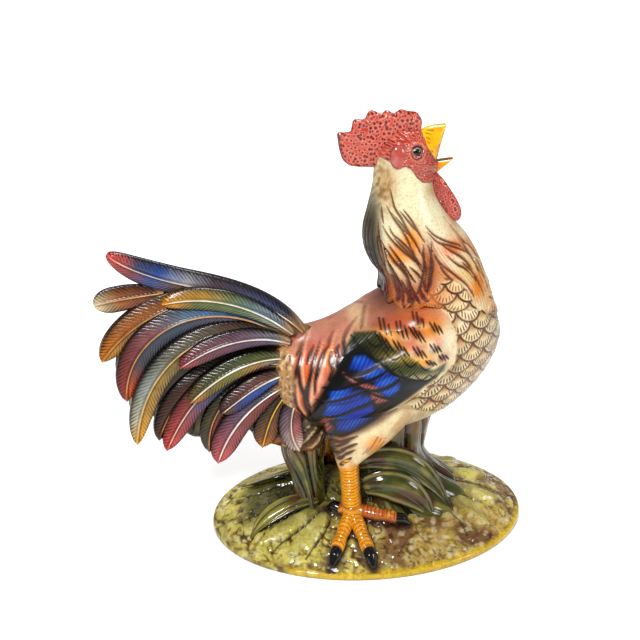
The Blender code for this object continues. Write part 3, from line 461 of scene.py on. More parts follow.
for name, (guide, facing, width, thickness) in LEAVES.items():
    for side_name, side in SIDES:
        piece, share, turned = ball_grid("leaf_" + name.format(side_name), 56, 120)
        path = [(x, -y, z) for x, y, z in guide]
        ahead = unit(bezier(path, share + 0.01) - bezier(path, share - 0.01))
        across_way = unit(np.cross(ahead, np.array(facing, float)))
        out = np.cross(across_way, ahead)
        half = width / 2 * (0.55 + 0.45 * np.sin(math.pi * np.minimum(share * 1.1, 1)))
        half = half * (1 - share ** 4 * 0.85) * closed(share, 0.02, 0.02)
        angle = FULL_TURN * turned
        across = np.cos(angle)
        flat = thickness / 2 * (1 - 0.6 * share) * half / half.max()
        points = bezier(path, share) + across_way * (half * across)[:, None]
        points = points + out * (flat * np.sin(angle))[:, None]
        points[:, 1] *= side
        fold = np.abs(np.sin(math.pi * (across * 1.0 + 0.45 + 0.25 * np.sin(3 * share)))) ** 0.6
        edge = 1 - step(np.abs(across), 0.75, 1)
        shape(piece, points, edge * (fold - 1) * FOLD_DEPTH)
        paint = grass_colours(points, 0.1 + 0.9 * edge * (0.35 + 0.65 * fold))
        if name.startswith("blade_rear"):
            paint = coats(paint, ("B4AC58", 0.7 * edge * step(fold, 0.3, 0.8) * step(share, 0.2, 0.5)))
        else:
            paint = coats(paint, ("2E3A1A", 0.5 * step(grain(points, 12, 14), -0.3, 0.2)))
        # A painted highlight along each leaf, near its edge
        paint = coats(paint, ("BCAA58", 0.5 * hill(np.abs(across), 0.76, 0.08)))
        brush(piece, paint, across * half / VEIN_SPACING, 0.16 * edge)
        fit(piece, grass_glaze, "grass", name.format(side_name))

# The legs
# Each leg is a pulled shank with scutes pressed round it, and four toes luted to its foot along the mound.
# Orange glaze, dark red in the grooves, black claws. Shade is painted under the ankles and the toes.
ANKLE = (20.5, 50.0, 39.5)
SHANK_TOP = (17.0, 46.2, 98.0)
# Radius of the shank at four shares of its height
SHANK_SHARES = (0, 0.25, 0.7, 1)
SHANK_RADII = (8.8 * 1.04, 8.8 * 0.94, 9.2 * 0.95, 9.2 * 1.02)
# Where each toe ends on the mound, and its colour
TOES = [(-7, 96, "F6A810"), (31, 103, "F0A420"), (73, 66, "C8702C"), (-1, 37, "B8602C")]
TOE_RADIUS = 5.6
CLAW = 13.0
SHANK_SCUTE = 3.3
TOE_SCUTE = 3.6
SCUTE_RISE = 0.7
SCUTE_GROOVE = 0.5
ANKLE_RADIUS = 9.8
ANKLE_HALF_HEIGHT = 9.6


def scutes(distance, size):
    """Plates that overlap along the leg: their rise, and the groove between two of them."""
    phase = distance / size % 1
    return phase ** 1.5, hill(phase, 0.04, 0.10) + hill(phase, 1.04, 0.10)


# Smooth, shiny and almost opaque, a little darker and lighter in patches as the orange pools
leg_glaze = glazed("orange_leg_glaze", roughness=0.25, mottle=5.0, amount=0.2, ripple=0.25)
for side_name, side in SIDES:
    piece, share, turned = ball_grid("shank_" + side_name, 60, 170)
    start = np.array([ANKLE[0], -ANKLE[1], ANKLE[2] + 3])
    end = np.array([SHANK_TOP[0], -SHANK_TOP[1], SHANK_TOP[2]])
    angle = FULL_TURN * turned
    closing = closed(share, 0.03, 0.03)
    radius = np.interp(share, SHANK_SHARES, SHANK_RADII) * closing
    points = start + (end - start) * share[:, None]
    points = points + np.column_stack([radius * np.cos(angle), radius * np.sin(angle), 0 * angle])
    points[:, 1] *= side
    rise, groove = scutes(share * 58 + 0.7 * np.sin(angle * 2), SHANK_SCUTE)
    shape(piece, points, (rise * SCUTE_RISE - groove * SCUTE_GROOVE) * closing)
    brush(piece, coats(
        "FBAE00", ("FFC024", 0.7 * step(grain(points, 7), 0, 0.5)), ("E88A10", 0.6 * step(share, 0.75, 0.95)),
        ("8A3410", 0.75 * np.clip(groove, 0, 1) * step(-np.sin(angle + 0.5), -0.3, 0.4)),
        ("8A4410", 0.6 * step(np.cos(angle), 0.5, 1.0)), ("6A2A14", 0.6 * (1 - step(share, 0.0, 0.12)))))
    fit(piece, leg_glaze, "shank", "shank_" + side_name)
    for number, (tip_x, tip_y, colour) in enumerate(TOES, 1):
        piece, share, turned = ball_grid("toe_{}_{}".format(side_name, number), 44, 120)
        run = np.array([tip_x - ANKLE[0], tip_y - ANKLE[1]])
        length = np.hypot(*run)
        claw = CLAW / length
        x = ANKLE[0] + run[0] * share
        y = ANKLE[1] + run[1] * share
        size = np.interp(share, [0, 0.35, 1 - claw * 1.15, 1 - claw, 1 - claw * 0.45, 1],
                         [1.2, 1.08, 1.06, 0.98, 0.86, 0.3])
        knuckles = 1 + 0.07 * np.cos(FULL_TURN * share * 3) * (1 - step(share, 1 - claw * 1.3, 1 - claw))
        closing = closed(share, 0.04, 0.012)
        radius = TOE_RADIUS * size * knuckles * closing
        rest = TOE_RADIUS * 0.72 * size
        lift = (ANKLE[2] - ground(ANKLE[0], ANKLE[1]) - rest) * np.clip(1 - share * 3, 0, 1)
        arch = 1.6 * np.sin(math.pi * np.clip((share - 1 + claw) / claw, 0, 1))
        z = ground(x, y) + rest + lift + arch
        sideways = np.array([-run[1], run[0]]) / length
        angle = FULL_TURN * turned
        points = np.column_stack([x + sideways[0] * radius * np.cos(angle),
                                  -(y + sideways[1] * radius * np.cos(angle)), z + radius * np.sin(angle)])
        points[:, 1] *= side
        above = step(np.sin(angle), -0.2, 0.5)
        on_toe = 1 - step(share, 1 - claw * 1.15, 1 - claw)
        rise, groove = scutes(share * length, TOE_SCUTE)
        shape(piece, points, closing * on_toe * above * (rise * SCUTE_RISE - groove * SCUTE_GROOVE))
        # Painted shade: each toe is darker low down, where it lies on the mound
        low = 1 - step(points[:, 2] - ground(x, y), 1.5, 5.5)
        brush(piece, coats(
            colour, ("F6BE40", 0.6 * step(grain(points, 6), 0.1, 0.5)),
            ("6A2412", 0.8 * np.clip(groove, 0, 1) * above), ("45221A", 0.8 * low),
            ("0E0B0A", step(share, 1 - claw * 1.08, 1 - claw * 0.98))))
        fit(piece, leg_glaze, "foot", "foot_" + side_name)
    piece, share, turned = ball_grid("ankle_" + side_name, 40, 28)
    angle = FULL_TURN * turned
    spread = ANKLE_RADIUS * np.sin(math.pi * share)
    points = np.column_stack([ANKLE[0] + spread * np.cos(angle), spread * np.sin(angle) - ANKLE[1],
                              ANKLE[2] + ANKLE_HALF_HEIGHT * np.cos(math.pi * share)])
    points[:, 1] *= side
    shape(piece, points)
    # Painted shade: the lower half of the ankle is darker
    brush(piece, coats("E89A1C", ("6A2A14", 0.6 * step(share, 0.45, 0.8))))
    fit(piece, leg_glaze, "foot", "foot_" + side_name)

# The body
# One hollow casting of back, breast and belly. Its breast is tooled with overlapping scales and its flanks
# with draped saddle feathers. Colours are sprayed on in clouds, then lined with a brush, and shade and
# highlights are painted in among them.
SHOULDER_FULLNESS = 0.45
SCALE_HEIGHT = 9.3
SCALES_ROUND = 13
SCALE_RISE = 1.3
SCALE_GROOVE = 0.6
SPOKE_ANGLE = 0.165
BREAST_MIDDLE = (95.0, 0.0, 190.0)
BREAST_RADIUS = 62.0
BARB_LINES = 3.1
BARB_LEAN = 0.6
DASH_SPACING = 3.6
DASH_RISE = 0.7
DASH_WIDTH = 2.5
# Sections from the rump to the breast: x, top, bottom, half width
TORSO = [
    (-44, 192, 146, 24), (-40, 199, 132, 32), (-31, 203, 120, 38), (-14, 204, 113, 43), (8, 209, 107, 49),
    (30, 219, 103, 55), (55, 231, 102, 59), (80, 241, 104, 59), (104, 248, 113, 56), (125, 249, 127, 49),
    (142, 243, 142, 39), (155, 227, 158, 26), (163, 207, 173, 14), (166.5, 195, 184, 6),
]
# Sprayed clouds: x, z, reach along, reach up, colour, amount
BODY_CLOUDS = [
    (-26, 168, 36, 50, "CC5C48", 1.0), (2, 192, 27, 24, "D46A58", 1.0), (27, 207, 17, 11, "E2CFA6", 0.95),
    (-13, 164, 8, 26, "F08020", 1.0), (3, 190, 6, 14, "F39020", 1.0), (-24, 158, 5, 26, "E87C28", 0.8),
    (-15, 150, 5, 22, "F2B0A0", 0.5), (-8, 172, 4, 12, "F0B4A8", 0.55), (-20, 126, 14, 20, "B88450", 0.75),
    (-37, 165, 8, 42, "C8A06C", 0.9), (-26, 196, 5, 8, "E8D4A8", 0.6), (72, 222, 42, 24, "D06A28", 1.0),
    (50, 213, 10, 9, "F09A1E", 0.95), (91, 217, 10, 9, "F2A02C", 0.95), (78, 197, 9, 7, "F7A52C", 0.95),
    (60, 206, 9, 5, "E8A838", 0.8), (57, 221, 8, 6, "CE6248", 0.8), (70, 209, 8, 6, "E0826E", 0.8),
    (92, 209, 7, 5, "EC9484", 0.7), (99, 194, 7, 4, "E06A64", 0.8), (104, 206, 8, 18, "F6EACA", 0.95),
    # (54, 236) is painted shade under the neck's hem
    (86, 207, 5, 6, "F3E4C0", 0.8), (84, 233, 16, 7, "B4561E", 0.8), (54, 236, 14, 9, "5A2614", 0.85),
    (38, 216, 9, 7, "9A6A44", 0.7), (66, 238, 12, 8, "8A3A1C", 0.7),
]
# In side view, x and z: where the scales are, and the feathers drawn on the folded wing
SCALED = [(86, 244), (96, 236), (105, 226), (111, 213), (112, 198), (110, 184), (101, 177), (86, 174),
          (77, 166), (66, 150), (76, 141), (92, 134), (110, 126), (190, 126), (190, 262), (86, 262)]
GREEN = [(25, 209), (42, 213), (50, 207), (65, 201), (76, 192), (88, 186), (101, 188), (99, 181), (90, 178),
         (78, 177), (67, 181), (55, 183), (46, 189), (40, 193), (34, 197), (26, 200), (17, 199)]
FLIGHT = [(24, 206), (17, 199), (9, 189), (3, 178), (-7, 164), (-15, 147), (-22, 124), (-12, 114), (10, 119),
          (28, 129), (42, 138), (54, 150), (66, 160), (80, 172), (92, 177), (90, 181), (78, 180), (67, 184),
          (55, 187), (46, 192), (38, 199)]
BLUE = [
    [(17, 185), (22, 193), (30, 196), (39, 193), (36, 188), (27, 186)],
    [(23, 183), (31, 186), (40, 190), (45, 192), (51, 188), (45, 183), (38, 178), (29, 180)],
    [(34, 174), (42, 180), (50, 185), (58, 184), (53, 178), (44, 173)],
    [(40, 169), (49, 172), (57, 178), (56, 171), (48, 164)],
    [(-2, 162), (3, 168), (17, 172), (14, 164), (5, 160)],
    [(-5, 152), (0, 161), (16, 167), (27, 171), (24, 163), (11, 157)],
    [(-7, 140), (-3, 151), (13, 156), (30, 165), (34, 160), (20, 150), (6, 141)],
    [(4, 130), (4, 138), (19, 147), (34, 156), (36, 148), (24, 138), (12, 131)],
]
PINK = [
    [(10, 181), (19, 180), (28, 176), (39, 173), (34, 169), (21, 173)],
    [(33, 171), (42, 166), (47, 160), (38, 157), (33, 163)],
    [(-9, 130), (-5, 137), (3, 138), (5, 130), (-2, 124)],
]
ARCS = [
    [(11, 180), (22, 182), (33, 187), (42, 194)], [(14, 180), (26, 177), (38, 182), (48, 189)],
    [(17, 175), (32, 170), (45, 173), (59, 184)], [(30, 169), (45, 163), (62, 164)],
    [(-7, 165), (7, 169), (19, 174), (29, 177)], [(-12, 153), (5, 158), (21, 166), (31, 172)],
    [(-15, 136), (4, 140), (21, 152), (38, 162)], [(10, 189), (20, 195), (30, 197)],
    [(22, 207), (25, 202), (31, 198), (39, 194), (50, 187), (62, 182), (81, 177), (91, 181)],
    [(-13, 128), (2, 128), (18, 134), (36, 146), (46, 155)], [(0, 172), (8, 180), (14, 190), (22, 200)],
]
SCALLOPS = [
    [(24, 206), (27, 200), (34, 201)], [(33, 201), (38, 195), (45, 198)], [(44, 196), (49, 189), (57, 192)],
    [(56, 190), (62, 183), (70, 187)], [(69, 186), (76, 179), (84, 183)], [(83, 183), (90, 178), (97, 184)],
    [(32, 209), (38, 203), (46, 206)], [(45, 204), (52, 197), (60, 201)], [(59, 199), (66, 192), (74, 197)],
    [(73, 195), (80, 188), (88, 191)],
]
# Groups of three short strokes on the shoulder: x, z, height and lean of the strokes
DASHES = [(79, 225, 8, 0.3), (64, 218, 8, 0.3), (51, 218, 7, 0.3), (76, 216, 7, 2.4), (94, 219, 7, 2.0),
          (48, 209, 7, 2.4), (61, 206, 7, 2.4), (76, 204, 7, 2.4), (91, 205, 7, 2.4), (99, 195, 6, 2.4),
          (86, 194, 5, 2.4)]
WING_EDGE_LINE = [(104, 176), (92, 172), (80, 166), (66, 154), (54, 145), (41, 136), (24, 129), (8, 122),
                  (-14, 118)]
SADDLE = [
    [(-18, 200), (-22, 194), (-25, 186), (-29, 175), (-31, 161), (-29, 145), (-21, 129), (-14, 114)],
    [(-10, 198), (-15, 191), (-18, 184)],
    [(-4, 201), (-11, 190), (-15, 179), (-18, 168), (-19, 153), (-16, 136)],
    [(3, 199), (-3, 193), (-8, 184), (-12, 173), (-13, 157)], [(4, 195), (2, 187), (3, 181), (-1, 172)],
    [(7, 192), (6, 186), (9, 182)], [(11, 200), (8, 195), (9, 190)], [(17, 206), (14, 198), (13, 192)],
    [(31, 218), (21, 210), (15, 202)], [(9, 207), (4, 202), (1, 196)], [(40, 224), (34, 218), (31, 212)],
    [(-3, 193), (-8, 184), (-11, 172)], [(-19, 170), (-22, 156), (-20, 143), (-14, 128)],
    [(-25, 186), (-26, 172), (-23, 159), (-16, 143)], [(22, 212), (17, 206), (13, 199)],
    [(-33, 190), (-37, 176), (-36, 160), (-31, 142)], [(-12, 205), (-20, 199), (-27, 190)],
]
smooth_torso = through(TORSO, np.linspace(0, 1, 600))


def torso_section(x):
    """Top, bottom, half width and fullness of the body's section at x."""
    top, bottom, half = (np.interp(x, smooth_torso[:, 0], smooth_torso[:, i]) for i in (1, 2, 3))
    return top, bottom, half, 2 + SHOULDER_FULLNESS * step(x, 20, 80) * (1 - step(x, 135, 165))


def torso_side(x, z):
    """How far the body's skin stands from the middle plane."""
    top, bottom, half, full = torso_section(x)
    rise = (z - (top + bottom) / 2) / ((top - bottom) / 2)
    full = np.where(rise > 0, full, 2.0)
    return half * np.clip(1 - np.abs(rise) ** full, 0.03, 1) ** (1 / full)


def rolled_out(x, z):
    """Height on the body's flank, as when its skin is rolled out flat over the back."""
    top, bottom, _, _ = torso_section(x)
    reach = (top - bottom) / 2
    rise = np.clip((z - (top + bottom) / 2) / reach, -1, 1)
    return z - reach * (rise - np.arcsin(rise))


def on_flank(marks):
    """Marks that were read in side view, on the rolled-out flank."""
    return [[(x, rolled_out(x, z)) for x, z in line] for line in marks]


def cloud(places, x, z, reach_x, reach_z):
    """A sprayed patch in side view: 1 in its middle, fading over its reach."""
    return np.exp(-(((places[:, 0] - x) / reach_x) ** 2 + ((places[:, -1] - z) / reach_z) ** 2) ** 1.3)


def inside(places, outline, soft=1.2):
    """1 inside an outline that is drawn in side view, with a soft edge."""
    x, z = places[:, 0], places[:, -1]
    within = np.zeros(len(places), dtype=bool)
    nearest = np.full(len(places), np.inf)
    for (x0, z0), (x1, z1) in zip(outline, outline[1:] + outline[:1]):
        run_x, run_z = x1 - x0, z1 - z0
        t = np.clip(((x - x0) * run_x + (z - z0) * run_z) / (run_x ** 2 + run_z ** 2), 0, 1)
        nearest = np.minimum(nearest, np.hypot(x - x0 - t * run_x, z - z0 - t * run_z))
        if z0 != z1:
            within ^= ((z0 > z) != (z1 > z)) & (x < x0 + (z - z0) * run_x / run_z)
    return step(np.where(within, nearest, -nearest), -soft, soft)


def scales(places):
    """Overlapping breast scales: outline, phase and share of their fine lines, and rise to the tip."""
    rel = places - np.array(BREAST_MIDDLE)
    dip = np.arccos(np.clip(rel[:, 2] / np.linalg.norm(rel, axis=1), -1, 1)) - math.pi / 2
    down = BREAST_RADIUS * 2 + np.where(dip > 0, dip * BREAST_RADIUS, -rel[:, 2])
    turn = np.arctan2(rel[:, 1], rel[:, 0]) / FULL_TURN * SCALES_ROUND
    width = FULL_TURN * np.maximum(np.hypot(rel[:, 0], rel[:, 1]), 20) / SCALES_ROUND
    row = np.floor(down / SCALE_HEIGHT)
    outline, fan, ink, rise = (np.zeros(len(places)) for _ in range(4))
    left = np.ones(len(places), dtype=bool)
    for k in (-1, 0, 1):
        shift = 0.5 * ((row + k) % 2)
        aside = (turn - np.floor(turn + shift) - 0.5 + shift) * width
        below = down - (row + k) * SCALE_HEIGHT
        reach = np.hypot(aside / (width * 0.53), below / (SCALE_HEIGHT * 1.28))
        mine = left & ((reach < 1) | (k == 1))
        spoke = np.arctan2(aside, below + SCALE_HEIGHT * 1.2)
        drawn = step(reach, 0.30, 0.45) * (1 - step(reach, 0.72, 0.80)) * step(below, 0, 1.5)
        outline = np.where(mine, step(reach, 0.77, 0.89), outline)
        fan = np.where(mine, spoke / SPOKE_ANGLE + 0.5, fan)
        ink = np.where(mine, drawn, ink)
        rise = np.where(mine, np.clip(0.5 + below / SCALE_HEIGHT / 2.56, 0, 1), rise)
        left &= ~mine
    return outline, fan, ink, rise


def body_brushwork(places):
    """Colours on body and wings, the depth of the drawn lines, and phase and share of the finest ones."""
    side = np.column_stack([places[:, 0], rolled_out(places[:, 0], places[:, 2])])
    paint = coats("EFE0B8", ("C8995F", 0.6 * step(grain(places, 17, 3), 0.0, 0.5)))
    for x, z, reach_x, reach_z, colour, amount in BODY_CLOUDS:
        paint = coats(paint, (colour, amount * cloud(side, x, rolled_out(x, z), reach_x, reach_z)))

    top = np.interp(places[:, 0], [row[0] for row in TORSO], [row[1] for row in TORSO])
    back = step(places[:, 2] - top, -16, -3)
    ridge = back * (1 - step(places[:, 0], 50, 76))
    saddle = strokes(side, on_flank(SADDLE), 3.8, 0.25) * (1 - 0.6 * ridge)
    halo = strokes(side, on_flank(SADDLE), 6.4, 0.25) * (1 - ridge)
    highlight_streaks = [[(x + 3.4, z) for x, z in line] for line in on_flank(SADDLE)]
    fluff = 1 - step(places[:, 0] + 5 * grain(places, 7, 20), -37, -27)
    paint = coats(
        paint, ("B06656", 0.8 * ridge), ("D0907A", 0.6 * ridge * step(grain(places, 14, 9), 0.0, 0.5)),
        # Painted shade under the neck's hem; painted highlights on the back and beside the saddle strokes
        ("5A2216", 0.85 * back * cloud(places, 58, 240, 20, 14)),
        ("E8CCA0", 0.7 * back * cloud(places, 30, 222, 8, 12)),
        ("F2C8A4", 0.6 * strokes(side, highlight_streaks, 3.0, 0.1) * (1 - 0.6 * ridge)),
        ("8C3A1C", 0.6 * halo), ("2A0E06", 0.97 * saddle), ("C49A66", 0.9 * fluff),
        ("6A3E1A", 0.7 * fluff * step(grain(places, 3.4, 21), 0.05, 0.35)),
        ("F0DEB6", 0.6 * fluff * step(grain(places, 3.8, 27), 0.15, 0.4)))

    green = inside(side, on_flank([GREEN])[0], 2.4)
    flight = inside(side, on_flank([FLIGHT])[0], 2.8)
    paint = coats(paint, ("0D0E10", flight), ("454C50", 0.55 * flight * cloud(side, 76, 173, 14, 5)))
    for outline in on_flank(BLUE):
        panel = inside(side, outline, 1.9)
        paint = coats(paint, ("0A46BC", 0.97 * panel),
                      ("3A8AF0", 0.5 * panel * cloud(side, *outline[1], 9, 5)))
    for outline in on_flank(PINK):
        paint = coats(paint, ("B0645A", 0.92 * inside(side, outline, 1.8)))
    arcs = strokes(side, on_flank(ARCS), 4.0, 0.35)
    scallops = strokes(side, on_flank(SCALLOPS), 2.4, 0.3)
    paint = coats(
        paint, ("3E4A18", 0.95 * green), ("16180C", 0.7 * green * cloud(side, 26, 204, 18, 10)),
        ("C8C08C", 0.9 * green * cloud(side, 74, 180, 32, 4.5)),
        ("C8A83C", 0.6 * green * cloud(side, 60, 200, 16, 4)), ("040405", 0.97 * arcs),
        ("12140A", 0.85 * scallops))

    dashes = []
    shade = np.zeros(len(places))
    pale = np.zeros(len(places))
    for x, z, size, lean in DASHES:
        for i, share in enumerate((0.55, 0.7, 0.5)):
            dash_x, dash_z, half = x + DASH_SPACING * i - 4.2, z - 1.2 * i, size * share
            dashes.append([(dash_x - lean, dash_z + half), (dash_x - 0.25 * lean, dash_z + 0.2 * half),
                           (dash_x + lean, dash_z - half)])
        shade = np.maximum(shade, cloud(places, x - 2, z - 1.5, 5.0, 4.0))
        pale = np.maximum(pale, cloud(places, x + 1, z - 5.5, 6.5, 2.2))
    ink = strokes(places[:, ::2], dashes, DASH_WIDTH, 0.3)
    edge_line = strokes(side, on_flank([WING_EDGE_LINE]), 5.0, 0.5)
    # pale is a painted highlight under each group of strokes
    paint = coats(paint, ("F6DCA4", 0.55 * pale * (1 - green)), ("8A3A14", 0.5 * shade * (1 - green)),
                  ("1C0C05", 0.95 * ink), ("7A4418", 0.85 * edge_line * (1 - flight)))

    scaled = inside(places, SCALED, 1.0)
    outline, fan, fan_ink, rise = scales(places)
    # Brown at each scale's root is partly its colour, partly painted shade under the row above
    scale_paint = coats(
        "F8E6B8", ("AC6E2E", 0.85 * (1 - step(rise, 0.32, 0.68))),
        # The 5A3814 patch is painted shade by the wing's front
        ("F0A02C", 0.6 * cloud(places, 150, 236, 12, 16)), ("5A3814", 0.6 * cloud(places, 108, 184, 9, 16)),
        ("B88448", 0.5 * step(grain(places, 13, 6), 0.1, 0.5)), ("6E3C10", outline))
    paint = mix(paint, scale_paint, scaled)
    feathered = np.maximum(0.6 * flight, 0.65 * green) * (1 - arcs)
    slant = np.where(green > 0.5, 0.9, BARB_LEAN)
    phase = np.where(scaled > 0.5, fan, (side[:, 0] - slant * side[:, 1]) / BARB_LINES)
    fine = np.where(scaled > 0.5, fan_ink, feathered)
    cut = -0.3 * saddle - 0.3 * halo - 0.2 * arcs - 0.1 * scallops - 0.15 * ink
    cut = cut + scaled * (SCALE_RISE * rise - SCALE_GROOVE * outline)
    cut = cut + DASH_RISE * shade * (1 - green) * (1 - scaled)
    return paint, cut, phase, fine


# Soft satin glaze over sprayed colour: broad, dull highlights, faint brown speckles and fine drawn lines
painted_body = glazed("clear_glaze_over_sprayed_body", coat=0.7, gloss=0.27, mottle=8.0, amount=0.14,
                      speckle=("C89A6C", 1.6, 0.3), lines=("5A2E14", -0.15, 0.6), groove=1.1)
piece, share, turned = ball_grid("body", 352, 276)
# More rows of the grid towards the breast, where the scales are
along = np.interp(share, [0, 0.03, 0.43, 0.975, 1], [0, 0, 0.55, 1, 1])
closing = closed(share, 0.03, 0.025)
x = through(TORSO, along)[:, 0]
top, bottom, half, full = torso_section(x)
angle = FULL_TURN * turned
full = np.where(np.cos(angle) > 0, full, 2.0)
up = np.sign(np.cos(angle)) * np.abs(np.cos(angle)) ** (2 / full)
out = np.sign(np.sin(angle)) * np.abs(np.sin(angle)) ** (2 / full)
points = np.column_stack([x, -half * out * closing, (top + bottom) / 2 + (top - bottom) / 2 * up * closing])
paint, cut, phase, fine = body_brushwork(points)
shape(piece, points, cut * closing)
brush(piece, paint, phase, fine)
fit(piece, painted_body, "torso", "torso")

# The wings
# Folded wings, pressed in a mould and luted onto the flanks: soft at the shoulder, crisp along the lower edge
# and the tip. Their brushwork runs on from the body's.
WING_EDGE = 2.6
WING_SUNK = 0.8
WING_BACK = 4.0
WING_TOP_SHARE = 0.82
# From the shoulder to the tip: x and z of the lower edge, x and z of the upper edge, bulge
WING = [
    (109, 194, 106, 212, 2), (102, 175, 98, 220, 6), (86, 163, 80, 223, 9), (64, 151, 58, 220, 10),
    (41, 138, 34, 210, 9), (18, 127, 12, 193, 8), (0, 120, -4, 172, 6), (-12, 119, -13, 152, 5),
    (-17, 123, -18, 138, 3),
]

# Duller than the body, so that black and blue stay deep, with fine barbs drawn into it
painted_wing = glazed("clear_glaze_over_painted_wing", coat=0.55, gloss=0.3, mottle=8.0, amount=0.14,
                      ripple=0.15, lines=("4A2E18", -0.15, 0.6), groove=0.35)
for side_name, side in SIDES:
    piece, share, turned = ball_grid("folded_wing_" + side_name, 224, 224)
    low_x, low_z, high_x, high_z, bulge = through(WING, np.clip((share - 0.02) / 0.96, 0, 1)).T
    top = turned < WING_TOP_SHARE
    across = np.where(top, turned / WING_TOP_SHARE, (1 - turned) / (1 - WING_TOP_SHARE))
    spread = 0.5 + (across - 0.5) * closed(share, 0.02, 0.02)
    x = low_x + (high_x - low_x) * spread
    z = low_z + (high_z - low_z) * spread
    swell = np.sqrt(np.clip(1 - (2 * spread - 1) ** 2, 0, 1))
    shoulder = step(share, 0.03, 0.30)
    upper = step(1 - across, 0.0, 0.28)
    proud = (WING_EDGE + bulge * swell + WING_SUNK) * shoulder * upper - WING_SUNK
    rounded = quarter_round(across / 0.03) * np.sqrt(np.clip((1 - share) / 0.02, 0, 1))
    stand = np.where(top, proud * rounded + (rounded - 1) * 2, -WING_BACK)
    points = np.column_stack([x, -(torso_side(x, z) + stand), z])
    paint, cut, phase, fine = body_brushwork(points)
    points[:, 1] *= side
    shape(piece, points, np.where(top, cut * rounded * shoulder * upper, 0))
    brush(piece, paint, phase, fine * top)
    fit(piece, painted_wing, "wing", "wing_" + side_name)

# The thighs
# Feathered thighs, cast in one with the belly and narrowing to the shanks, with comma strokes of brown. The
# tips of the flight feathers hang over their tops, modelled on as a low raised edge.
COMMA_DEPTH = 0.9
THIGH_LINE_DEPTH = 0.4
TIP_RISE = 1.2
# From the hip to the shank: height, rear, front, distance from the middle plane, half width
THIGH = [
    (150, -4, 92, 38, 18), (135, -5, 85, 39, 19), (120, -3, 70, 41, 18), (108, 0, 57, 43, 16),
    (97, 4, 41, 44.5, 13), (88, 6.5, 28, 46, 10.5), (83, 8, 26.2, 46.3, 9),
]
THIGH_STROKES = [
    [(21, 126), (13, 122), (5, 119)], [(24, 121), (17, 118), (8, 114), (2, 113)],
    [(17, 116), (10, 112), (4, 108)], [(24, 114), (16, 110), (8, 106)], [(14, 108), (8, 103), (4, 100)],
    [(21, 107), (15, 103), (10, 100)], [(13, 101), (9, 97), (6, 94)], [(19, 99), (14, 95), (11, 92)],
    [(6, 126), (0, 122), (-4, 118)], [(12, 95), (10, 91), (8, 88)], [(7, 116), (1, 112), (-2, 108)],
]
THIGH_LINES = [[(42, 119), (38, 111), (31, 102)], [(46, 118), (42, 110), (36, 103)],
               [(38, 117), (34, 109), (28, 101)], [(50, 116), (46, 109), (41, 103)]]
# Outline of the feather tips on the thigh, and the blue and pink in them
WING_TIPS = [(-26, 150), (-22, 133), (-15, 123), (-4, 119), (10, 121), (24, 127), (40, 136), (56, 149),
             (60, 172), (-26, 172)]
TIP_COLOURS = [("0E48B8", [(6, 126), (16, 127), (28, 134), (40, 143), (32, 148), (16, 138), (6, 134)]),
               ("2A62D0", [(12, 129), (20, 132), (28, 138), (18, 135)]),
               ("A85C52", [(-9, 124), (-1, 122), (3, 128), (-2, 133), (-10, 131)])]
# Lower edge of the shade under the wing
SHADE_X = (-14, 8, 24, 41, 54, 66)
SHADE_Z = (116, 120, 127, 134, 143, 152)

for side_name, side in SIDES:
    piece, share, turned = ball_grid("thigh_skin_" + side_name, 124, 112)
    z, back, front, middle_y, half = through(THIGH, np.clip((share - 0.03) / 0.93, 0, 1)).T
    closing = closed(share, 0.03, 0.04)
    angle = FULL_TURN * turned
    points = np.column_stack([(back + front) / 2 + (front - back) / 2 * closing * np.cos(angle),
                              -middle_y + half * closing * np.sin(angle), z - 2 * (1 - closing)])
    flank = points[:, ::2]
    x, z = flank.T
    commas = strokes(flank, THIGH_STROKES, 4.3, 0.12)
    lines = strokes(flank, THIGH_LINES, 1.1, 0.4)
    outward = step(-points[:, 1], 40, 46)
    tips = inside(flank, WING_TIPS, 1.6) * outward
    paint = coats(
        "F0E0B4", ("C08E50", 0.6 * step(grain(points, 12, 4), 0.0, 0.5)),
        ("F09A20", 0.85 * cloud(points, 40, 111, 10, 9)), ("F5A61C", 0.8 * (1 - step(z, 84, 94))),
        # Painted shade under the wing, on the front edge and along the rear edge by the tail
        ("6E3E18", 0.8 * step(z - np.interp(x, SHADE_X, SHADE_Z), -8, 0)),
        ("9A6428", 0.5 * step(x - (back + front) / 2, 0.55 * (front - back) / 2, (front - back) / 2)),
        ("8A5A28", 0.7 * cloud(points, 6, 112, 12, 18)),
        ("2C1608", 0.9 * (1 - step(x - back, 2, 9)) * step(z, 90, 102)), ("542404", 0.95 * commas),
        # Painted shadow: a soft dark margin round the feather tips
        ("7A4410", 0.8 * lines), ("120E0C", 0.75 * inside(flank, WING_TIPS, 5.0) * outward), ("0C0D10", tips))
    for colour, outline in TIP_COLOURS:
        paint = coats(paint, (colour, 0.9 * tips * inside(flank, outline, 2.0)))
    barbs = (x - BARB_LEAN * z) / BARB_LINES
    points[:, 1] *= side
    shape(piece, points, (1 - tips) * (-COMMA_DEPTH * commas - THIGH_LINE_DEPTH * lines) + TIP_RISE * tips)
    brush(piece, paint, barbs, 0.8 * tips)
    fit(piece, painted_body, "thigh", "thigh_" + side_name)

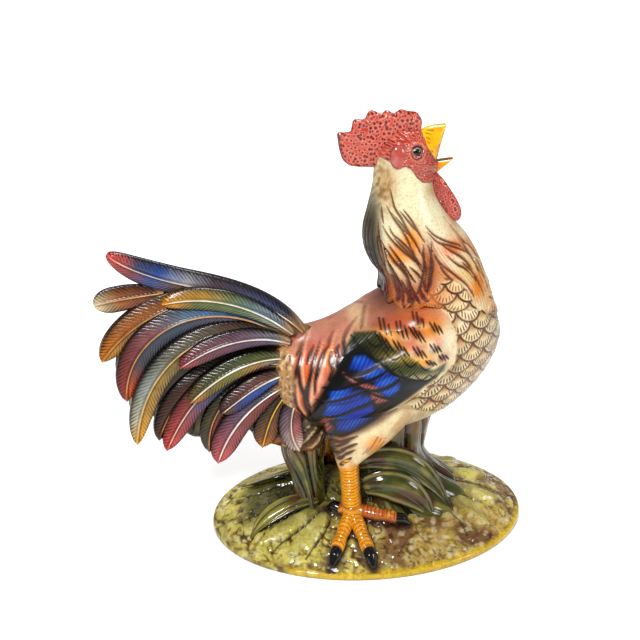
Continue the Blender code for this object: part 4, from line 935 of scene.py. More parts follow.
# The neck
# Hollow neck with long hackles combed into it, which end in pointed locks over the shoulders. Orange, rust
# and cream are brushed over it, with dark strokes in the grooves and a black nape that painted shade
# deepens at the back. Shade is also painted under the locks.
NECK = [
    (66, 382, 86, 380, 11), (58, 376, 91, 370, 18), (52, 368, 96, 361, 22), (48, 360, 100, 351, 22.5),
    (46, 352, 98, 345, 20.5), (45, 335, 101, 326, 24), (41, 315, 112, 308, 30), (37, 296, 128, 290, 37),
    (38, 280, 140, 272, 42), (43, 266, 149, 252, 45), (49, 255, 156, 234, 46), (50, 246, 163, 218, 45),
    (50, 234, 166, 204, 43),
]
LAST_ROW = 11
FIRST_ROW = 2.2
ROW_HEIGHT = 13.6
# Place from the back (0) to the front (1), and how much lower the locks' tips hang there
LOCKS = [(0, 3), (0.06, 9), (0.09, 4), (0.148, 17), (0.19, 6), (0.254, 16), (0.30, 5), (0.33, 10), (0.37, 2),
         (0.45, 0), (0.60, 0), (0.66, 2), (0.70, 0), (0.74, 8), (0.78, 0), (0.83, 7), (0.87, 1), (0.92, 7),
         (0.96, 1), (1, 7)]
# In side view, x and z: the grooves combed into the side of the neck and over the breast
GROOVES = [
    [(49, 321), (49, 314), (50, 307)], [(56, 336), (59, 322), (64, 313), (69, 304), (77, 291)],
    [(66, 320), (73, 311), (79, 300), (83, 293)], [(58, 313), (63, 305), (70, 299)],
    [(54, 305), (57, 299), (63, 294), (70, 287), (77, 277), (82, 271)],
    [(58, 296), (65, 288), (72, 282), (78, 274)], [(52, 286), (57, 277), (63, 270), (70, 264)],
    [(47, 294), (50, 286), (56, 278), (67, 265), (72, 254)], [(70, 272), (77, 266), (83, 257), (84, 250)],
    [(83, 290), (82, 282), (84, 270), (83, 255)], [(86, 290), (90, 276), (88, 260), (85, 250)],
    [(47, 266), (53, 254), (55, 244), (58, 236)], [(56, 262), (61, 252), (64, 240), (66, 232)],
    [(64, 258), (68, 250), (74, 240), (76, 234)], [(72, 254), (75, 246), (80, 238)],
    [(79, 252), (82, 245), (87, 240)], [(53, 322), (58, 312), (65, 302), (72, 288), (78, 275)],
    [(57, 316), (67, 304), (75, 294), (81, 282)], [(63, 319), (73, 307), (80, 300)],
    [(49, 305), (54, 296), (64, 286), (75, 277), (82, 266)], [(46, 309), (46, 294), (49, 278), (53, 264)],
    [(53, 290), (59, 281), (68, 268), (75, 258)], [(52, 276), (59, 264), (65, 250), (69, 230)],
    [(49, 269), (55, 251), (59, 231)], [(61, 276), (68, 263), (72, 249), (72, 237)],
    [(82, 291), (82, 277), (81, 261), (78, 247)], [(90, 293), (89, 279), (87, 264), (86, 248)],
]
FRONT_GROOVES = [
    [(104, 309), (112, 300), (121, 289), (131, 279), (139, 268), (145, 254)],
    [(86, 301), (96, 292), (109, 287), (124, 279), (132, 270)],
    [(90, 286), (97, 275), (109, 264), (122, 253), (130, 240)],
    [(103, 280), (113, 272), (123, 265), (132, 253)], [(106, 316), (116, 304), (127, 292), (136, 280)],
    [(118, 272), (128, 262), (137, 248), (142, 236)], [(134, 270), (142, 256), (147, 240)],
    [(100, 262), (112, 256), (120, 247), (127, 238)],
    [(85, 306), (93, 298), (105, 291), (117, 286), (125, 279)],
    [(94, 293), (107, 284), (119, 275), (128, 264), (133, 251)],
    [(92, 281), (100, 268), (111, 256), (122, 247)], [(110, 301), (121, 285), (133, 267), (143, 251)],
]
# Where the straight grooves of nape and throat run, from the back (0) to the front (1)
BACK_GROOVES = [0.0, 0.055, 0.10, 0.145, 0.19, 0.235]
THROAT_GROOVES = [0.80, 0.86, 0.92, 0.97]
# In side view, x and z: where the breast's scales run up on the neck
NECK_SCALED = [(84, 244), (91, 252), (99, 259), (108, 260), (116, 254), (124, 243), (130, 233), (136, 222),
               (120, 205), (84, 205)]
FRONT_SCALED = [(145, 222), (150, 240), (156, 252), (180, 252), (180, 200), (145, 200)]
# Depths and heights in millimetres, and how many fine grooves and lines go round
COMBED_DEPTH = 1.9
FRONT_DEPTH = 1.5
NAPE_DEPTH = 1.5
THROAT_DEPTH = 1.2
FINE_DEPTH = 0.3
FINE_GROOVES = 42
FINE_LINES = 50
NECK_SCALE_RISE = 1.1
NECK_SCALE_GROOVE = 0.5
LOCK_RISE = 1.2
# Brushed clouds: x, z, reach along, reach up, colour, amount
NECK_CLOUDS = [
    (53, 340, 9, 20, "C29A5C", 0.75), (96, 334, 9, 9, "C09458", 0.6), (72, 292, 9, 14, "F29A0C", 1.0),
    (60, 281, 9, 9, "F09A10", 0.95), (110, 285, 14, 7, "E87C0C", 1.0), (66, 288, 9, 5, "E4A884", 0.6),
    (87, 270, 9, 24, "B04A14", 1.0), (84, 246, 14, 13, "B8480E", 0.95), (72, 264, 9, 8, "E8C898", 0.7),
    (66, 244, 12, 14, "7A2E10", 0.95), (52, 244, 8, 18, "38201A", 0.9), (124, 264, 11, 10, "F0CC80", 0.8),
    (135, 248, 10, 14, "F09412", 1.0), (132, 280, 9, 9, "E0A070", 0.7), (112, 300, 8, 10, "E2B488", 0.6),
    (98, 268, 9, 9, "D07A38", 0.8), (106, 258, 9, 8, "E89028", 0.9), (150, 232, 9, 16, "F0A030", 0.6),
    (44, 290, 5, 34, "5A5448", 0.7),
]


def neck_skin(turn, row):
    """Places on the neck and head, for a turn from the back (0) by the right side to the front, and a row."""
    back_x, back_z, front_x, front_z, half = through(NECK, row / (len(NECK) - 1)).T
    angle = FULL_TURN * turn
    return np.column_stack([(back_x + front_x) / 2 - np.cos(angle) * (front_x - back_x) / 2,
                            -half * np.sin(angle),
                            (back_z + front_z) / 2 - np.cos(angle) * (front_z - back_z) / 2])


def laid_on(skin, marks):
    """3-D places on a skin's right side for marks read in side view as (x, z)."""
    right = skin[skin[:, 1] < 0]
    return [[right[np.argmin((right[:, 0] - x) ** 2 + (right[:, 2] - z) ** 2)] for x, z in line]
            for line in marks]


# Satin glaze with soft highlights, a few brown speckles, and fine combed lines in the hackles
neck_glaze = glazed("clear_glaze_over_brushed_hackles", coat=0.6, gloss=0.2, mottle=8.0, amount=0.08,
                    speckle=("C8A070", 1.8, 0.4), lines=("8C5A30", 0.2, 0.9), groove=0.8)
piece, share, turned = ball_grid("neck", 300, 300)
toward_front = np.minimum(turned, 1 - turned) * 2
shown = np.clip((share - 0.04) / 0.90, 0, 1)
lock_turns, lock_drops = zip(*LOCKS)
lock = np.interp(toward_front, lock_turns, lock_drops)
row = FIRST_ROW + (LAST_ROW - FIRST_ROW) * shown + lock / ROW_HEIGHT * shown ** 7
points = neck_skin(turned, np.minimum(row, len(NECK) - 1))
opening = np.clip(share / 0.04, 0, 1) ** 0.5
under = np.clip((share - 0.94) / 0.06, 0, 1)
crown = np.array([84.0, 0.0, 354.0])
points = np.where((share < 0.04)[:, None], crown + (points - crown) * opening[:, None], points)
points[:, 1] *= 1 - 0.04 * step(shown, 0.96, 1.0)
points[:, 0] += 4.5 * step(shown, 0.72, 1.0) * (1 - step(toward_front, 0.04, 0.16))
points[:, 0] -= 3.0 * step(shown, 0.78, 1.0) * step(toward_front, 0.72, 0.95)
points = points + (np.array([96.0, 0.0, 226.0]) - points) * (under ** 1.2)[:, None]
right = np.column_stack([points[:, 0], -np.abs(points[:, 1]), points[:, 2]])
groove_lines = laid_on(points, GROOVES)
front_lines = laid_on(points, FRONT_GROOVES)
back_lines = [neck_skin(np.full(6, 0.5 * turn), np.linspace(5.2 + 9 * turn, 10.6, 6))
              for turn in BACK_GROOVES]
throat_lines = [neck_skin(np.full(5, 0.5 * turn), np.linspace(6.4 + 3 * (turn - 0.8), 9.8, 5))
                for turn in THROAT_GROOVES]
combed = strokes(right, groove_lines, 2.6, 0.1)
front = strokes(right, front_lines, 2.4, 0.1)
nape = strokes(right, back_lines, 3.0, 0.2)
throat = strokes(right, throat_lines, 2.6, 0.15)
halo = np.maximum(strokes(right, groove_lines, 5.5, 0.3), strokes(right, front_lines, 5.0, 0.3))
flow = toward_front + 0.05 * np.sin(row * 1.1)
fine = (0.5 + 0.5 * np.cos(FULL_TURN * (FINE_GROOVES * flow))) * step(row, 6.0, 7.2)
neck_scaled = np.maximum(inside(points, NECK_SCALED, 1.0), inside(points, FRONT_SCALED, 1.0))
neck_scaled = neck_scaled * (share < 0.945)
outline, fan, fan_ink, rise = scales(points)

paint = np.tile(linear("F0E8C4"), (len(points), 1))
for x, z, reach_x, reach_z, colour, amount in NECK_CLOUDS:
    paint = coats(paint, (colour, amount * cloud(points, x, z, reach_x, reach_z)))
# The nape's own black, deepened with painted shade down the back of the neck
dark_and_shaded_nape = (1 - step(toward_front, 0.12, 0.26)) * step(row, 4.6, 6.6)
below_comb = cloud(points, 49, 337, 9, 22) * step(grain(points, 4, 31), -0.25, 0.35)
low = 1 - step(points[:, 2], 262, 306)
paint = coats(
    paint, ("8A5E2C", 0.7 * below_comb), ("2C261A", 0.92 * dark_and_shaded_nape),
    ("8A7A5C", 0.25 * dark_and_shaded_nape * (1 - fine) * step(row, 5.5, 7)), ("C87A30", (0.2 + 0.45 * low) * halo),
    ("7A3410", 0.55 * low * step(halo, 0.5, 1.0) * step(grain(points, 9, 12), -0.1, 0.3)),
    ("4A200C", (0.75 + 0.2 * low) * np.maximum(combed, 0.8 * throat)), ("5C2C10", 0.9 * front),
    ("0C0B0A", 0.92 * nape))
# Brown at each scale's root is partly its colour, partly painted shade under the row above
scale_paint = coats(
    "F6E0B0", ("B87030", 0.7 * (1 - step(rise, 0.30, 0.62))),
    ("D88430", 0.55 * cloud(points, 96, 246, 16, 12)), ("EE9A2C", 0.6 * cloud(points, 152, 236, 9, 18)),
    ("5E2C08", outline))
locks_edge = step(shown, 0.93, 1.0) * step(lock, 1.5, 4)
hem = step(shown, 0.66, 0.95) * (1 - step(toward_front, 0.42, 0.5))
paint = coats(
    mix(paint, scale_paint, neck_scaled), ("5A2A12", 0.6 * locks_edge),
    # Painted shade low on the back of the neck
    ("24140C", 0.9 * (1 - step(toward_front, 0.1, 0.26)) * step(shown, 0.5, 0.85)),
    ("70240A", 0.85 * hem * step(halo, 0.1, 0.5)),
    ("D67A26", 0.75 * hem * (1 - step(halo, 0.0, 0.3)) * step(toward_front, 0.12, 0.2)),
    # Painted shadow under the locks, where the neck tucks in
    ("2A1408", 0.9 * step(under, 0.0, 0.3)))

hackled = (1 - neck_scaled) * (1 - step(under, 0, 0.2)) * step(share, 0.05, 0.1)
cut = hackled * (-COMBED_DEPTH * combed - FRONT_DEPTH * front - NAPE_DEPTH * nape - THROAT_DEPTH * throat
                 - FINE_DEPTH * fine)
cut = cut + neck_scaled * (NECK_SCALE_RISE * rise - NECK_SCALE_GROOVE * outline) * (1 - step(under, 0, 0.2))
shape(piece, points, cut + LOCK_RISE * locks_edge * (1 - step(under, 0, 0.3)))
stroked = np.maximum.reduce([combed, front, nape, throat])
combing = 0.22 * step(row, 6.0, 7.5) * (1 - step(under, 0, 0.1)) * (1 - stroked)
brush(piece, paint, np.where(neck_scaled > 0.5, fan, FINE_LINES * flow),
      np.where(neck_scaled > 0.5, fan_ink, combing))
fit(piece, neck_glaze, "hackles", "hackle_cape")

# The face
# Bare red face, cast with the neck and pricked all over with a tool. A raised rim stands where the neck
# feathers begin, and a low ring round each eye.
FACE_RIM = [(40, 362), (50, 361.5), (55, 360), (58, 358), (64, 355), (68, 356.5), (73, 354), (79, 345.5),
            (84, 341), (90, 339.5), (96, 339), (106, 342)]
EYE = (78.0, 367.0)
FACE_PITS = 3.0
PIT_REACH = 0.75
PIT_DEPTH = 0.35
RIM_RISE = 1.3
LIP_RISE = 0.9
EYE_RING_RISE = 0.8
SOCKET_DEPTH = 1.2


def pits(u, v, spacing, seed):
    """Distance in millimetres to the nearest of scattered dimples on a surface."""
    chance = np.random.default_rng(seed)
    jog = chance.uniform(-0.36, 0.36, (64, 64, 2))
    sizes = chance.uniform(0.65, 1.3, (64, 64))
    column, line = np.floor(u / spacing).astype(int), np.floor(v / spacing).astype(int)
    best = np.full(len(u), 9.0)
    for i in (-1, 0, 1):
        for j in (-1, 0, 1):
            c, r = column + i, line + j
            shift = jog[c % 64, r % 64]
            aside = (c + 0.25 + 0.5 * (r % 2) + shift[:, 0]) * spacing - u
            below = (r + 0.5 + shift[:, 1]) * spacing - v
            best = np.minimum(best, np.hypot(aside, below) / sizes[c % 64, r % 64])
    return best


def fleshy(places, pit, reach, colour, dark):
    """Red flesh with dark dimples, each in a light ring of painted highlight."""
    return coats(colour, ("A03426", 0.6 * step(grain(places, 9, 3), 0, 0.5)),
                 # Painted highlight: a light ring round each dimple
                 ("F0A490", 0.55 * hill(pit, reach * 1.5, reach * 0.4)),
                 (dark, 0.85 * (1 - step(pit, reach * 0.55, reach * 1.15))))


# Glossier and smoother than the feathers, so that the red flesh looks wet
flesh = glazed("clear_glaze_over_red_flesh", roughness=0.2, mottle=5.0, amount=0.12, ripple=0.3)
piece, share, turned = ball_grid("face", 210, 170)
points = neck_skin(turned, 5.3 * np.clip((share - 0.05) / 0.88, 0, 1))
crown = np.array([75.0, 0.0, 382.5])
closing = np.sqrt(np.clip(share / 0.05, 0, 1))
points = np.where((share < 0.05)[:, None], crown + (points - crown) * closing[:, None], points)
rim_x, rim_z = zip(*FACE_RIM)
rim = points[:, 2] - np.interp(points[:, 0], rim_x, rim_z)
under = np.clip((share - 0.93) / 0.07, 0, 1)
points = points + (np.array([72.0, 0.0, 345.0]) - points) * under[:, None]
pit = pits(points[:, 0] + 0.4 * points[:, 1], points[:, 2], FACE_PITS, 4)
socket = np.hypot(points[:, 0] - EYE[0], points[:, 2] - EYE[1])
ring = hill(socket, 6.6, 1.1)
paint = coats(fleshy(points, pit, PIT_REACH, "BE4A3A", "6A1C12"), ("8A3020", 0.7 * (1 - step(rim, 0.2, 1.4))),
              ("E48468", 0.6 * ring), ("5A1C14", 0.7 * hill(socket, 5.2, 0.6)))
# Below the rim the skin is tucked in under the neck feathers
tucked = 0.2 * (1 - step(rim, -1.8, -0.6))
points = points + (np.array([74.0, 0.0, 0.0]) - points * (1, 1, 0)) * tucked[:, None]
stand = RIM_RISE * step(rim, -0.9, 1.0) + LIP_RISE * hill(rim, 2.6, 2.2) + EYE_RING_RISE * ring
stand = stand - SOCKET_DEPTH * (1 - step(socket, 4.6, 6.0))
pricked = (1 - step(pit, 0.4, 1.0)) * step(rim, 0.8, 2) * (1 - step(under, 0, 0.2))
shape(piece, points, stand - PIT_DEPTH * pricked)
brush(piece, paint)
fit(piece, flesh, "face", "head")

# The comb
# A thick plate with five blunt points, luted along the crown. Its clay is lumpy and pricked all over with
# dimples, in which the dark glaze gathers. Its rear edge is painted in shadow.
COMB = [
    (70, 360), (48, 350), (25, 352), (18, 358), (15, 368), (13, 383), (25, 381), (27, 393), (37, 392),
    (40, 399), (44, 400), (51, 396), (56, 400), (62, 396), (68, 400), (74, 398), (82, 397), (87, 390),
    (86, 378), (80, 366),
]
COMB_MIDDLE = (52.0, 374.0)
COMB_HALF = 5.2
COMB_PITS = 3.7
COMB_PIT_REACH = 1.15
COMB_PIT_DEPTH = 0.9
COMB_SWELL = 1.2
COMB_LUMPS = 0.6


def cushion(name, outline, middle, half, around, along, sharp=0.35, fullness=3.0):
    """Rounded plate over an outline in side view: its grid, places, and share of the way to the outline."""
    piece, share, turned = ball_grid(name, around, along)
    corners = np.array(outline, float)
    corners = np.vstack([corners, corners[:1]])
    rounded = [corners[:-1] + (corners[1:] - corners[:-1]) * cut for cut in (sharp / 2, 0.5, 1 - sharp / 2)]
    ring = np.stack(rounded, axis=1).reshape(-1, 2)
    turns = np.arctan2(ring[:, 1] - middle[1], ring[:, 0] - middle[0]) / (FULL_TURN) % 1
    order = np.argsort(turns)
    ring_x = np.interp(turned, turns[order], ring[order, 0], period=1)
    ring_z = np.interp(turned, turns[order], ring[order, 1], period=1)
    reach = 1 - np.abs(1 - 2 * share)
    spread = np.where(reach < 0.9, reach / 0.9 * 0.94,
                      0.94 + 0.06 * np.sin(math.pi / 2 * (reach - 0.9) / 0.1))
    thick = half * np.clip(1 - spread ** (2 * fullness), 0, 1) ** 0.5
    points = np.column_stack([middle[0] + (ring_x - middle[0]) * spread, np.sign(share - 0.5) * thick,
                              middle[1] + (ring_z - middle[1]) * spread])
    return piece, points, spread


piece, points, spread = cushion("comb_plate", COMB, COMB_MIDDLE, COMB_HALF, 380, 140)
x, z = points[:, 0], points[:, 2]
pit = pits(x, z, COMB_PITS, 8)
# Painted shadow on the comb's rear edge
shaded_rear_edge = (1 - step(x + 0.25 * (z - 350), 19, 27)) * step(spread, 0.9, 1.0)
paint = coats(fleshy(points, pit, COMB_PIT_REACH, "CC5240", "5A160E"), ("5A1A12", 0.8 * shaded_rear_edge),
              ("A83A2C", 0.5 * step(spread, 0.95, 1.0)))
swell = COMB_SWELL * hill(x, 56, 26) * hill(z, 368, 16)
rough = COMB_LUMPS * grain(points, 4.5, 6) - COMB_PIT_DEPTH * (1 - step(pit, 0.6, 1.7))
shape(piece, points, swell * (1 - step(spread, 0.8, 1)) + rough * (1 - step(spread, 0.93, 1)))
brush(piece, paint)
fit(piece, flesh, "comb", "comb")

# The wattles
# Two soft flaps of clay, luted on under the beak one beside the other. They are pricked like the comb, and
# darker towards the throat.
WATTLE = [(94, 347), (103, 343), (111, 332), (119, 320), (124, 309), (122, 300), (114, 301), (104, 312),
          (94, 330)]
WATTLE_Y = 7.8
WATTLE_MIDDLE = (108.0, 323.0)
WATTLE_HALF = 4.4
WATTLE_PITS = 3.4
WATTLE_PIT_REACH = 0.95
WATTLE_PIT_DEPTH = 0.5

for side_name, side in SIDES:
    piece, points, spread = cushion("wattle_flap_" + side_name, WATTLE, WATTLE_MIDDLE, WATTLE_HALF, 160, 80,
                                    0.5, 2.0)
    pit = pits(points[:, 0] + 1, points[:, 2], WATTLE_PITS, 12)
    points[:, 1] = (points[:, 1] - WATTLE_Y) * side
    by_throat = 1 - step(points[:, 0] - (347 - points[:, 2]) * 0.35, 92, 102)
    paint = coats(fleshy(points, pit, WATTLE_PIT_REACH, "C44A3C", "5A1610"), ("8C2C20", 0.6 * by_throat))
    shape(piece, points, -WATTLE_PIT_DEPTH * (1 - step(pit, 0.5, 1.2)) * (1 - step(spread, 0.93, 1)))
    brush(piece, paint)
    fit(piece, flesh, "wattle", "wattle_" + side_name)

# The beak
# Two horn-yellow halves of pulled clay, open as it crows, with a few brown strokes by the comb. The mouth
# between them is dark.
# Corners of each half in side view: lower root, upper root, tip
UPPER = ((99, 348), (85, 381), (107.5, 385.5))
LOWER = ((100, 343), (99, 354), (115.5, 355.5))
BRISTLES = [[(88, 380), (93, 379)], [(88, 377), (92, 375.5)], [(90, 382), (96, 382)], [(89, 373), (92, 372)],
            [(93, 366), (95, 364)], [(100, 370), (101, 369)]]


def beak_half(name, corners, wide, narrow, arch):
    """A horn from its root in the face to a blunt tip, arched along its upper edge."""
    piece, share, turned = ball_grid(name, 80, 80)
    low, high, tip = np.array(corners, float)
    along = np.interp(share, [0, 0.02, 0.98, 1], [-0.35, -0.35, 1, 1])
    closing = closed(share, 0.02, 0.05)
    spread = 1 - np.clip(along, 0, 1)
    middle = (low + high) / 2
    place = middle + (tip - middle) * along[:, None]
    half = (high - low) / 2 * (np.maximum(spread, 0.07) * closing)[:, None]
    width = (narrow + (wide - narrow) * np.sqrt(spread)) * closing
    upright = np.cos(FULL_TURN * turned)
    lift = arch * 4 * spread * (1 - spread) * np.clip(upright, 0, 1)
    upward = (high - low) / np.linalg.norm(high - low)
    side = place + half * upright[:, None] + upward * lift[:, None]
    points = np.column_stack([side[:, 0], width * np.sin(FULL_TURN * turned), side[:, 1]])
    shape(piece, points)
    return piece, points, along, upright


# Smooth, shiny and evenly yellow, as a thick coat of one glaze is
horn = glazed("clear_glaze_over_yellow_horn", roughness=0.25, mottle=6.0, amount=0.08, ripple=0.2)
piece, points, along, upright = beak_half("upper_beak", UPPER, 11.5, 2.4, 1.8)
brush(piece, coats("FFC206", ("E89A08", 0.6 * step(grain(points, 8, 2), 0.0, 0.5)),
                   ("6A4008", 0.85 * strokes(points[:, ::2], BRISTLES, 1.2, 0.5)),
                   # Painted shade on the underside of the upper beak
                   ("B06A08", 0.6 * np.clip(-upright, 0, 1) ** 3)))
fit(piece, horn, "beak", "beak_upper")
piece, points, along, upright = beak_half("lower_beak", LOWER, 8.5, 2.0, 0.4)
brush(piece, coats("F5A80E", ("3A2408", 0.85 * step(upright, 0.55, 0.9)),
                   ("D87A10", 0.6 * (1 - step(along, 0, 0.4)))))
fit(piece, horn, "beak", "beak_lower")

# The eyes and earlobes
# Balls of clay pressed half into the head on each side: a black eye in a pale painted ring, and behind it a
# smooth mauve lobe with a dark edge.
EYE_RADIUS = 5.5
LOBE = (62.5, 364.0)
LOBE_SIZE = (7.6, 5.0, 11.0)


def bead(name, node, middle, size, segments, flat=1.0):
    """A ball that stands out as far as its solid: its grid, its places, and their share of its radius."""
    low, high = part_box(node)
    outer = -low[1] / MM if side == 1 else high[1] / MM
    piece, share, turned = ball_grid(name, segments, segments)
    ring = np.sin(math.pi * share)
    points = np.column_stack([middle[0] + size[0] * ring * np.cos(FULL_TURN * turned),
                              size[1] - outer + size[1] * np.cos(math.pi * share) * flat,
                              middle[1] + size[2] * ring * np.sin(FULL_TURN * turned)])
    points[:, 1] *= side
    shape(piece, points)
    return piece, points, ring


# As smooth as glass, so that one small sharp highlight makes the eye look alive
eye_glaze = glazed("black_eye_glaze", roughness=0.08, mottle=5.0, amount=0.0, ripple=0.0)
for side_name, side in SIDES:
    piece, points, ring = bead("eye_bead_" + side_name, "eye_" + side_name, EYE, [EYE_RADIUS] * 3, 48, 0.999)
    reach = np.hypot(points[:, 0] - EYE[0], points[:, 2] - EYE[1])
    brush(piece, coats("060606", ("A8A296", 0.85 * step(reach, 3.3, 3.6) * (1 - step(reach, 4.1, 4.5)))))
    fit(piece, eye_glaze, "eye", "eye_" + side_name)
    piece, points, ring = bead("lobe_" + side_name, "earlobe_" + side_name, LOBE, LOBE_SIZE, 60)
    # Painted highlight: light pink patches on the lobe
    brush(piece, coats("C05A50", ("CC8484", 0.6 * step(grain(points, 7, 5), 0, 0.5)),
                       ("8C3026", 0.7 * step(ring, 0.86, 0.97))))
    fit(piece, flesh, "earlobe", "earlobe_" + side_name)

# The tail core
# A hollow wedge that carries the feathers, with the last coverts and the fluff of the vent modelled on it. It
# is brushed in browns, as only strips of it show between the feathers.
TAIL_CORE = [
    (0, 200), (-40, 222), (-75, 238), (-110, 246), (-140, 245), (-165, 232), (-180, 205), (-172, 178),
    (-160, 152), (-150, 128), (-136, 120), (-124, 107), (-112, 106), (-100, 118), (-76, 120), (-59, 99),
    (-45, 94), (-26, 87), (-6, 83), (4, 92), (6, 130),
]
CORE_MIDDLE = (-85.0, 165.0)
CORE_DEPTH = 1.6
VENT_RISE = 0.8
LAYER = 4.8
CORE_LINES = [
    [(-8, 132), (-30, 122), (-52, 108), (-60, 99)], [(-4, 124), (-26, 110), (-46, 98)],
    [(2, 118), (-14, 102), (-30, 91)], [(5, 112), (-2, 98), (-12, 87)], [(-60, 150), (-90, 138), (-108, 116)],
    [(-66, 140), (-86, 128), (-100, 121)], [(-90, 160), (-116, 138), (-122, 112)],
    [(-100, 170), (-134, 150), (-142, 126)], [(-20, 140), (-48, 126), (-70, 122)],
    [(4, 106), (0, 96), (-4, 88)], [(-84, 150), (-104, 132), (-114, 110)],
    [(-112, 150), (-128, 132), (-132, 120)],
]
VENT_LINES = [[(-2, 112), (-8, 100), (-18, 91)], [(2, 106), (-4, 96), (-10, 88)],
              [(-8, 116), (-18, 104), (-30, 94)], [(4, 100), (2, 92), (-2, 87)],
              [(-14, 118), (-26, 108), (-40, 98)]]


def tail_place(x, z, layers):
    """Place on a layer of the right half of the tail, which is drawn in towards the rump."""
    out = 16.5 + 0.068 * (x + 25) - 0.13 * (z - 190) + LAYER * layers
    rise = np.clip((z - 150) / 50, 0, 1)
    behind = np.maximum(-25 - x, 0) / 30
    drawn_in = out * 0.35 * rise * np.exp(-behind ** 2)
    return np.column_stack([x, drawn_in - out, z - drawn_in * 0.445])


# Satin, and cloudier than the body, with dark lines pressed between the barbs
feather_glaze = glazed("clear_glaze_over_brushed_feather", coat=0.6, gloss=0.2, mottle=7.0, amount=0.25,
                       lines=("2C1A12", 0.0, 0.8), groove=1.4)
piece, points, spread = cushion("tail_wedge", TAIL_CORE, CORE_MIDDLE, 1.0, 300, 124, 0.4, 8.0)
flank = points[:, ::2].copy()
x, z = flank.T
skin = tail_place(x, z, 0)
points = np.column_stack([x, -skin[:, 1] * points[:, 1], z + (skin[:, 2] - z) * np.abs(points[:, 1])])
combed = strokes(flank, CORE_LINES, 4.2, 0.2)
pale = strokes(flank, VENT_LINES, 2.2, 0.1)
behind_vent = 1 - step(x + (z - 99) * 0.2, -60, -55)
shape(piece, points, VENT_RISE * pale - CORE_DEPTH * combed)
brush(piece, coats(
    "4A3A1C", ("6A5A28", 0.7 * step(grain(points, 12, 2), 0, 0.5)),
    ("A8601C", 0.85 * cloud(points, -46, 101, 20, 7)), ("C87A24", 0.6 * cloud(points, -24, 96, 14, 8)),
    ("8A5C34", 0.8 * cloud(points, -6, 96, 12, 16)), ("D0AC7C", 0.9 * cloud(points, -24, 172, 14, 44)),
    ("1A1208", 0.85 * combed), ("E8D2A4", 0.8 * pale),
    ("0E0A06", 0.9 * behind_vent * cloud(points, -60, 99, 7, 7))))
fit(piece, feather_glaze, "tail_core", "tail_core")

# The tail feathers
# Pressed clay feathers, luted side by side in leaning layers on both sides of the wedge, and two on its
# ridge. Each has a raised quill, barbs combed aslant into the clay, brushed underglaze and a clear glaze.
BARB_SPACING = 3.7
BARB_SLANT = 1.15
BARB_DEPTH = 0.32
QUILL_WIDTH = 0.8
QUILL_RISE = 0.9
VALLEY_DEPTH = 0.45
FEATHER_STEP = 0.85
TOP_SHARE = 0.84
# Layer, then root, heading, turn, slackening, length and width of each feather, as in the solids
FEATHERS = {
    "covert_{}_1": (3, -28, 210, 139, 45, 8, 122, 20.0),
    "covert_{}_2": (4, -31, 204, 158, 80, -24, 104, 20.0),
    "covert_{}_3": (3, -31, 188, 170, 84, -31, 102, 21.0),
    "covert_{}_4": (3, -35, 174, 189, 68, -42, 70, 20.0),
    "sickle_{}_1": (1, -32, 207, 130, 129, -25, 190, 28.0),
    "sickle_{}_2": (2, -32, 203, 140, 93, 39, 193, 28.0),
    "sickle_{}_3": (3, -32, 199, 141, 171, -48, 198, 24.0),
    "sickle_{}_4": (1, -32, 185, 171, 80, 0, 151, 26.0),
    "sickle_{}_5": (2, -32, 180, 163, 137, -55, 148, 24.0),
    "sickle_{}_6": (1, -32, 165, 168, 106, 0, 115, 20.0),
    "rump_{}_1": (2, -37, 161, 204, 48, 0, 97, 26.0),
    "rump_{}_2": (1, -30, 156, 216, 79, -41, 63, 24.0),
    "rump_{}_3": (2, -24, 154, 240, 39, 25, 58, 22.0),
}
